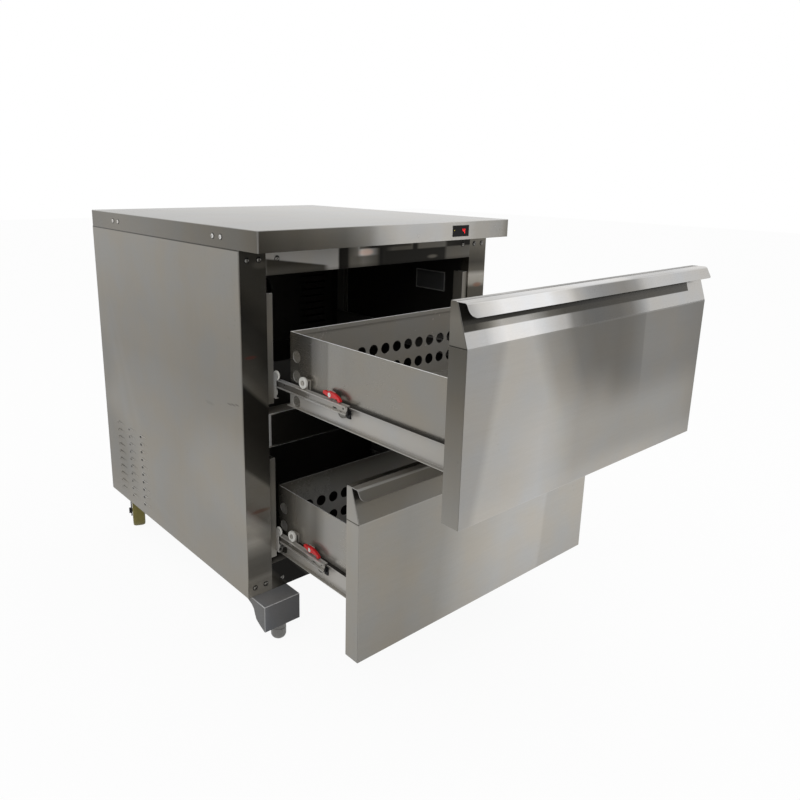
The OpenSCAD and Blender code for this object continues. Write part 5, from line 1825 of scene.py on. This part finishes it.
@dataclass
class SlideSet:
    """The slides of one drawer with their rollers, wheels and latches.

    Places are counted inwards from the upright, along from the front end of the running member
    and up from its middle line.

    Attributes:
        name: "upper" or "lower".
        middle_z: Height of the slides' middle line.
        length: Length of the running member.
        front: Front end of the running member.
        wheel_y: Place of the drawer's rear wheels.
        openings: Place along and up of each opening, its radius and its stretch.
        hole_shades: The same for the dark plates that paint the shade in the hole and the slot, with half
            their height and half their length.
        stops: Corners of the dark stop and of its clip.
    """

    name: str
    middle_z: float
    length: float
    front: float
    wheel_y: float
    face_x: float = 279.0
    sheet: float = 1.5
    half_h: float = 8.0
    web: float = 7.6
    flange: float = 2.5
    lug: float = 13.9
    lug_half: float = 9.0
    lug_top: float = 23.5
    latch_y: float = 52.0
    latch_z: float = 17.5
    pin: float = 3.0
    head: float = 4.5
    head_in: float = 6.5
    roller_y: float = 18.0
    wheel_r: float = 12.0
    wheel_w: float = 6.0
    wheel_in: float = 7.5
    roller_in: float = 9.6
    wheel_z: float = 20.15
    guide_r: float = 10.0
    guide_w: float = 4.0
    guide_in: float = 2.3
    guide_y: tuple[float, float] = (-1.0, 8.0)
    guide_z: float = 18.15
    play: float = 0.06
    openings: tuple[tuple[float, ...], ...] = (
        (11.0, 1.0, 2.2, 1.0), (36.0, -3.0, 1.6, 4.0), (120.0, 0.0, 2.2, 3.0),
        (200.0, 0.0, 2.2, 1.0))
    hole_shades: tuple[tuple[float, ...], ...] = ((11.0, 1.0, 2.4, 2.4), (36.0, -3.0, 1.7, 6.6))
    stops: tuple[tuple[Point, Point], ...] = (
        ((9.2, -8.0, -15.0), (12.0, 3.0, 1.0)), ((5.5, -5.0, -7.8), (9.2, -0.5, -1.0)))

    def x(self, inwards: float) -> float:
        """Gives the X of a place counted inwards from the left upright."""
        return -self.face_x + inwards

    def spot(self, inwards: float, along: float, up: float) -> Point:
        """Gives a place counted from the left upright, the front end and the middle line."""
        return (self.x(inwards), self.front + along, self.middle_z + up)

    def pierced_web(self, piece: Workpiece) -> None:
        """Adds the web of the running member, with its hole and slots cut through.

        Args:
            piece: The piece that it is added to.
        """
        bm, end, h = piece.bm, self.length, self.half_h
        border = [bm.verts.new(self.spot(self.web, along, up))
                  for along, up in ((0, -h), (end, -h), (end, h), (0, h))]
        edges = [bm.edges.new(p) for p in zip(border, border[1:] + border[:1])]
        for along, up, r, stretch in self.openings:
            place = (Matrix.Translation(self.spot(self.web, along, up))
                     @ Matrix.Diagonal((1, stretch, 1, 1)) @ turned(90, "Y"))
            ring = bmesh.ops.create_circle(bm, cap_ends=False, segments=16, radius=r,
                                           matrix=place)["verts"]
            edges += list({e for v in ring for e in v.link_edges})
        filled = bmesh.ops.triangle_fill(bm, use_beauty=True, use_dissolve=False,
                                         edges=edges)["geom"]
        piece.thicken(only(bmesh.types.BMFace, filled), (self.sheet, 0, 0))

    def running_members(self) -> None:
        """Builds the running members with webs, flanges, lugs, pins and stops."""
        piece = Workpiece()
        end, h, t = self.length, self.half_h, self.sheet
        flanges = [((self.flange, 0, h - t), (self.lug + t, end, h)),
                   ((self.flange, 0, -h), (self.web, end, -h + t)),
                   ((self.lug, self.latch_y - self.lug_half, h - 0.2),
                    (self.lug + t, self.latch_y + self.lug_half, self.lug_top))]
        for low, high in flanges:
            piece.block(self.spot(*low), self.spot(*high))
        piece.round_sharp(0.35, 2)
        self.pierced_web(piece)
        pins = ((self.latch_y, self.latch_z, self.head_in, self.lug),
                (self.roller_y, -h, self.web, self.roller_in + self.wheel_w + 0.3))
        for along, up, start, stop in pins:
            r, n = self.pin, stop - start
            profile = [(0, 0), (0, r), (n, r), (n, 0)]
            if start == self.head_in:
                profile = [(0.0, 0), (0.05, 1.2), (0.0, 1.3), (0.02, 3.4), (0.25, self.head),
                           (0.6, self.head), (0.6, r), (n, r), (n, 0)]
            made = piece.revolve(profile, self.spot(start, along, up), X, 24, False)
            piece.number(faces_at(made), 1)
        dark = [piece.block(self.spot(*low), self.spot(*high)) for low, high in self.stops]
        # Dark plates inside the hole and the slot paint the shade seen through them
        for along, up, r, reach in self.hole_shades:
            dark.append(piece.block(self.spot(self.web + 0.7, along - reach, up - r),
                                    self.spot(self.web + t - 0.1, along + reach, up + r)))
        for verts in dark:
            piece.number(faces_at(verts), 2)
        piece.both_sides()
        piece.finish(self.name + "_running_members", self.name + "_running_slides", "zinc",
                     [Finishes.running_slide, Finishes.rivet, Finishes.black_plastic],
                     [self.name + "_running_slides"])

    def wheel_pair(self, node: str, inwards: float, y: float, z: float, radius: float,
                   width: float, bore: float, finish: Finish) -> None:
        """Builds a pair of wheels, left and right, on one axis.

        Args:
            node: The CAD node that they stand for.
            inwards: Start of the wheel, counted inwards from the upright.
            y: Place of the axis.
            z: Height of the axis.
            radius: Radius of the wheel.
            width: Width of the wheel.
            bore: Radius of its bore.
            finish: Its finish.
        """
        piece = Workpiece()
        b, r, w = bore + self.play, radius, width
        dip = w * 0.22
        profile = [(0, b), (0, b + 1.2), (dip, b + 1.8), (dip, r - 2.6), (0.15, r - 1.9), (0.1, r - 1.0),
                   (0.5, r - 0.3), (w * 0.3, r), (w * 0.7, r), (w - 0.5, r - 0.3), (w - 0.1, r - 1.0),
                   (w - 0.15, r - 1.9), (w - dip, r - 2.6), (w - dip, b + 1.8), (w, b + 1.2), (w, b)]
        piece.revolve(profile, (self.x(inwards), y, z), X, 32)
        piece.paint(1, lambda c, n: math.hypot(c.y - y, c.z - z) < b + 1.9)
        piece.both_sides()
        body = f"{self.name}_{node}"
        piece.finish(body + "_pair", body, "nylon", [finish, Finishes.grey_nylon], [body])

    def build(self) -> None:
        """Builds and dresses the slides."""
        softened(self.name + "_outer_slides", "cabinet", "zinc", Finishes.outer_slide, 0.3, 1)
        self.running_members()
        z, front = self.middle_z, self.front
        for node, y, rise in zip(("top_rollers", "bottom_rollers"), self.guide_y,
                                 (self.guide_z, -self.guide_z)):
            self.wheel_pair(node, self.guide_in, y, z + rise, self.guide_r, self.guide_w, 2.5,
                            Finishes.nylon)
        self.wheel_pair("drawer_wheels", self.wheel_in, self.wheel_y, z + self.wheel_z,
                        self.wheel_r, self.wheel_w, 3.0, Finishes.nylon)
        self.wheel_pair("front_rollers", self.roller_in, front + self.roller_y, z - self.half_h,
                        self.wheel_r, self.wheel_w, 3.0, Finishes.grey_nylon)
        softened(self.name + "_latches", self.name + "_latches", "latch_red", Finishes.latch, 0.8, 3)


@dataclass
class Undercarriage:
    """The front feet in their brackets and the rear castors."""

    foot_x: float = 294.8
    foot_y: float = -22.0
    foot_r: float = 16.8
    foot_h: float = 40.0
    sole: float = 11.0
    stem: float = 6.0
    stem_top: float = 90.0
    pitch: float = 1.25
    castor_x: float = 310.5
    castor_y: float = 670.0
    castor_r: float = 45.0
    castor_w: float = 33.0
    axle: float = 5.06
    swivel: float = 22.0
    bend_y: float = -49.9
    bend_z: float = 104.9
    bend_long: float = 50.0
    # Shares of the painted edge highlight on the brackets' sides and on their tops
    side_highlight: float = 0.3
    top_highlight: float = 0.8

    def foot(self, name: str, side: int) -> None:
        """Builds one levelling foot on its stem.

        Args:
            name: Its name.
            side: Its side, with -1 for the left one and 1 for the right one.
        """
        piece = Workpiece()
        r, h, c = self.foot_r, self.foot_h, self.sole
        sole = [(c - c * math.cos(a), r - c + c * math.sin(a))
                for a in (math.radians(d) for d in range(0, 91, 15))]
        profile = [(0.0, 0.0), *sole, (h - 14, r), (h - 13, r - 0.7), (h - 12, r - 0.7), (h - 11, r),
                   (h - 2, r), (h - 0.4, r - 1.4), (h, r - 3.4), (h, 10.0), (h + 6, 10.0), (h + 6.4, 9.0),
                   (h + 6.4, self.stem)]
        threads = [(h + 6.4 + i * self.pitch + k * 0.6, self.stem - 0.45 * k)
                   for i in range(34) for k in (0, 1)]
        top = self.stem_top
        profile += [p for p in threads if p[0] < top] + [(top, self.stem - 0.5), (top, 0.0)]
        piece.revolve(profile, (side * self.foot_x, self.foot_y, 0), Z, 32, False)
        piece.paint(1, lambda c, n: c.z > h + 0.2)
        piece.finish(name + "_turned", name, "zinc", [Finishes.foot, Finishes.thread], [name])

    def castor(self, name: str, side: int) -> None:
        """Builds one castor wheel with its tread, rim and hub.

        Args:
            name: Its name.
            side: Its side, with -1 for the left one and 1 for the right one.
        """
        piece = Workpiece()
        w, r, a = self.castor_w / 2, self.castor_r, self.axle
        right = [(w, a), (w, 11.0), (w - 2, 12.0), (w - 6, 14.0), (w - 6, r - 13), (w - 1, r - 11),
                 (w, r - 9), (w - 0.6, r - 4), (w - 3, r - 1.2), (w - 8, r)]
        left = [(-p, q) for p, q in reversed(right)]
        piece.revolve(right + left, (0, 0, 0), X, 48)
        piece.paint(1, lambda c, n: math.hypot(c.y, c.z) < r - 11.5)
        place = Matrix.Translation((side * self.castor_x, self.castor_y, r))
        piece.bm.transform(place @ turned(side * self.swivel, "Z"))
        piece.finish(name + "_turned", name, "wheel_tread", [Finishes.tread, Finishes.hub], [name])

    def is_bend(self, edge: bmesh.types.BMEdge) -> bool:
        """Tells whether an edge is one of the brackets' long bends.

        Args:
            edge: The edge.

        Returns:
            Whether it is.
        """
        spots = [vert.co for vert in edge.verts]
        outer = all(c.z > self.bend_z or c.y < self.bend_y for c in spots)
        return edge.calc_length() > self.bend_long and outer and max(c.z for c in spots) > 104

    def build(self) -> None:
        """Builds and dresses feet and castors."""
        brackets = Workpiece.copy_of("foot_brackets")
        brackets.round_sharp(1.3, 3, self.is_bend)
        for face in brackets.bm.faces:
            face[brackets.edge_highlight] *= self.side_highlight if abs(face.normal.z) < 0.3 else self.top_highlight
        brackets.finish("dressed_foot_brackets", "cabinet", "bracket_steel", [Finishes.bracket],
                        ["foot_brackets"])
        softened("castor_forks", "cabinet", "black_paint", Finishes.fork, 0.6, 2)
        for side, word in ((-1, "left"), (1, "right")):
            self.foot(word + "_foot", side)
            self.castor(word + "_castor_wheel", side)


@dataclass
class Studio:
    """The pale floor, the white surroundings, the soft lamps and the camera."""

    place: Point = (-1.0691, -1.2817, 0.9914)
    right: Point = (0.76179149, -0.64766121, 0.01444623)
    up: Point = (0.15400891, 0.20271851, 0.96705039)
    ahead: Point = (0.62924954, 0.73446591, -0.25417483)
    lens: float = 32.784
    shift: tuple[float, float] = (0.04473, -0.04577)
    sky: float = 0.8
    floor_half: float = 14000.0
    floor_drop: float = 0.4
    floor_white: float = 0.93
    floor_low: Colour = (0.86, 0.86, 0.86, 1.0)
    floor_high: Colour = (0.9, 0.9, 0.9, 1.0)

    def camera(self) -> None:
        """Sets the camera where the photograph was taken."""
        data = bpy.data.cameras.new("photo_view")
        data.lens = self.lens
        data.sensor_width = 36.0
        data.shift_x, data.shift_y = self.shift
        data.clip_start = 0.01
        camera = in_scene("photo_view", data)
        axes = [Vector(self.right), Vector(self.up), -Vector(self.ahead)]
        turn = Matrix(axes).transposed().to_4x4()
        camera.matrix_world = Matrix.Translation(self.place) @ turn
        bpy.context.scene.camera = camera

    def world(self) -> None:
        """Makes the surroundings white to the camera and in reflections."""
        world = bpy.data.worlds.new("pale_room")
        bpy.context.scene.world = world
        bench = NodeBench.cleared(world)
        path = bench.add("ShaderNodeLightPath", None, None, "Is Camera Ray").node.outputs
        seen = bench.math("ADD", bench.math("ADD", path["Is Camera Ray"], path["Is Glossy Ray"]),
                          path["Is Transmission Ray"], True)
        strength = bench.spread(seen, 0.0, 1.0, self.sky, 1.0)
        back = bench.add("ShaderNodeBackground", None, {"Color": WHITE, "Strength": strength})
        bench.end("ShaderNodeOutputWorld", back)

    def floor(self) -> None:
        """Lays the pale floor, which keeps a faint shadow."""
        piece = Workpiece()
        bmesh.ops.create_grid(piece.bm, x_segments=4, y_segments=4, size=self.floor_half)
        mesh = bpy.data.meshes.new("studio_floor")
        piece.bm.transform(Matrix.Scale(MM, 4) @ Matrix.Translation((0, 0, -self.floor_drop)))
        piece.bm.to_mesh(mesh)
        piece.bm.free()
        made = bpy.data.materials.new("studio_floor_white")
        bench = NodeBench.cleared(made)
        tone = bench.mix(bench.noise(bench.spot(), 2.0), self.floor_low, self.floor_high)
        matt = bench.add("ShaderNodeBsdfDiffuse", None, {"Color": tone})
        white = bench.add("ShaderNodeEmission", None, {"Color": WHITE, "Strength": 1.0})
        path = bench.add("ShaderNodeLightPath", None, None, "Is Camera Ray").node.outputs
        mirror = bench.math("ADD", path["Is Glossy Ray"], path["Is Transmission Ray"], True)
        seen = bench.math("MULTIPLY", path["Is Camera Ray"], self.floor_white)
        share = bench.math("MAXIMUM", seen, mirror)
        bench.end("ShaderNodeOutputMaterial",
                  bench.add("ShaderNodeMixShader", None, {0: share, 1: matt, 2: white}))
        mesh.materials.append(made)
        floor = in_scene("studio_floor", mesh)

    def lamp(self, name: str, place: Point, size: float, power: float) -> None:
        """Hangs one soft lamp that looks at the freezer.

        Args:
            name: Name of the lamp.
            place: Where it hangs, in metres.
            size: Its width in metres.
            power: Its power in watts.
        """
        data = bpy.data.lights.new(name, "AREA")
        data.shape = "SQUARE"
        data.size = size
        data.energy = power
        lamp = in_scene(name, data)
        lamp.location = place
        aim = Vector((0, 0, 0.45)) - Vector(place)
        lamp.rotation_euler = aim.to_track_quat("-Z", "Y").to_euler()
        lamp.visible_glossy = False

    def build(self) -> None:
        """Builds the whole studio."""
        self.camera()
        self.world()
        self.floor()
        self.lamp("soft_lamp_left", (-2.6, -1.6, 2.6), 2.4, 26.0)
        self.lamp("soft_lamp_top", (1.2, -1.0, 3.2), 2.4, 16.0)
        bpy.context.scene.view_settings.view_transform = "Standard"
        LOG.info("studio is set")


def main() -> None:
    """Builds the pieces in order."""
    logging.basicConfig(level=logging.INFO, format="%(name)s: %(message)s")
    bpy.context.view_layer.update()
    pieces = [
        Worktop(), Screws(), Controller(), Shell(), FrontFrame(), ColdRoom(), Machinery(),
        Drawer("upper", -533.0, 490.8, Finishes.upper_front, Finishes.upper_slant,
               Finishes.upper_handle, Finishes.upper_box),
        Drawer("lower", -313.0, 141.5, Finishes.lower_front, Finishes.lower_slant,
               Finishes.lower_handle, Finishes.lower_box),
        SlideSet("upper", 570.0, 474.0, -224.0, -85.0),
        SlideSet("lower", 220.7, 307.0, -158.0, -41.0),
        Undercarriage(), Studio(),
    ]
    for piece in pieces:
        piece.build()
        LOG.info("%s is done", type(piece).__name__)


if __name__ == "__main__":
    main()
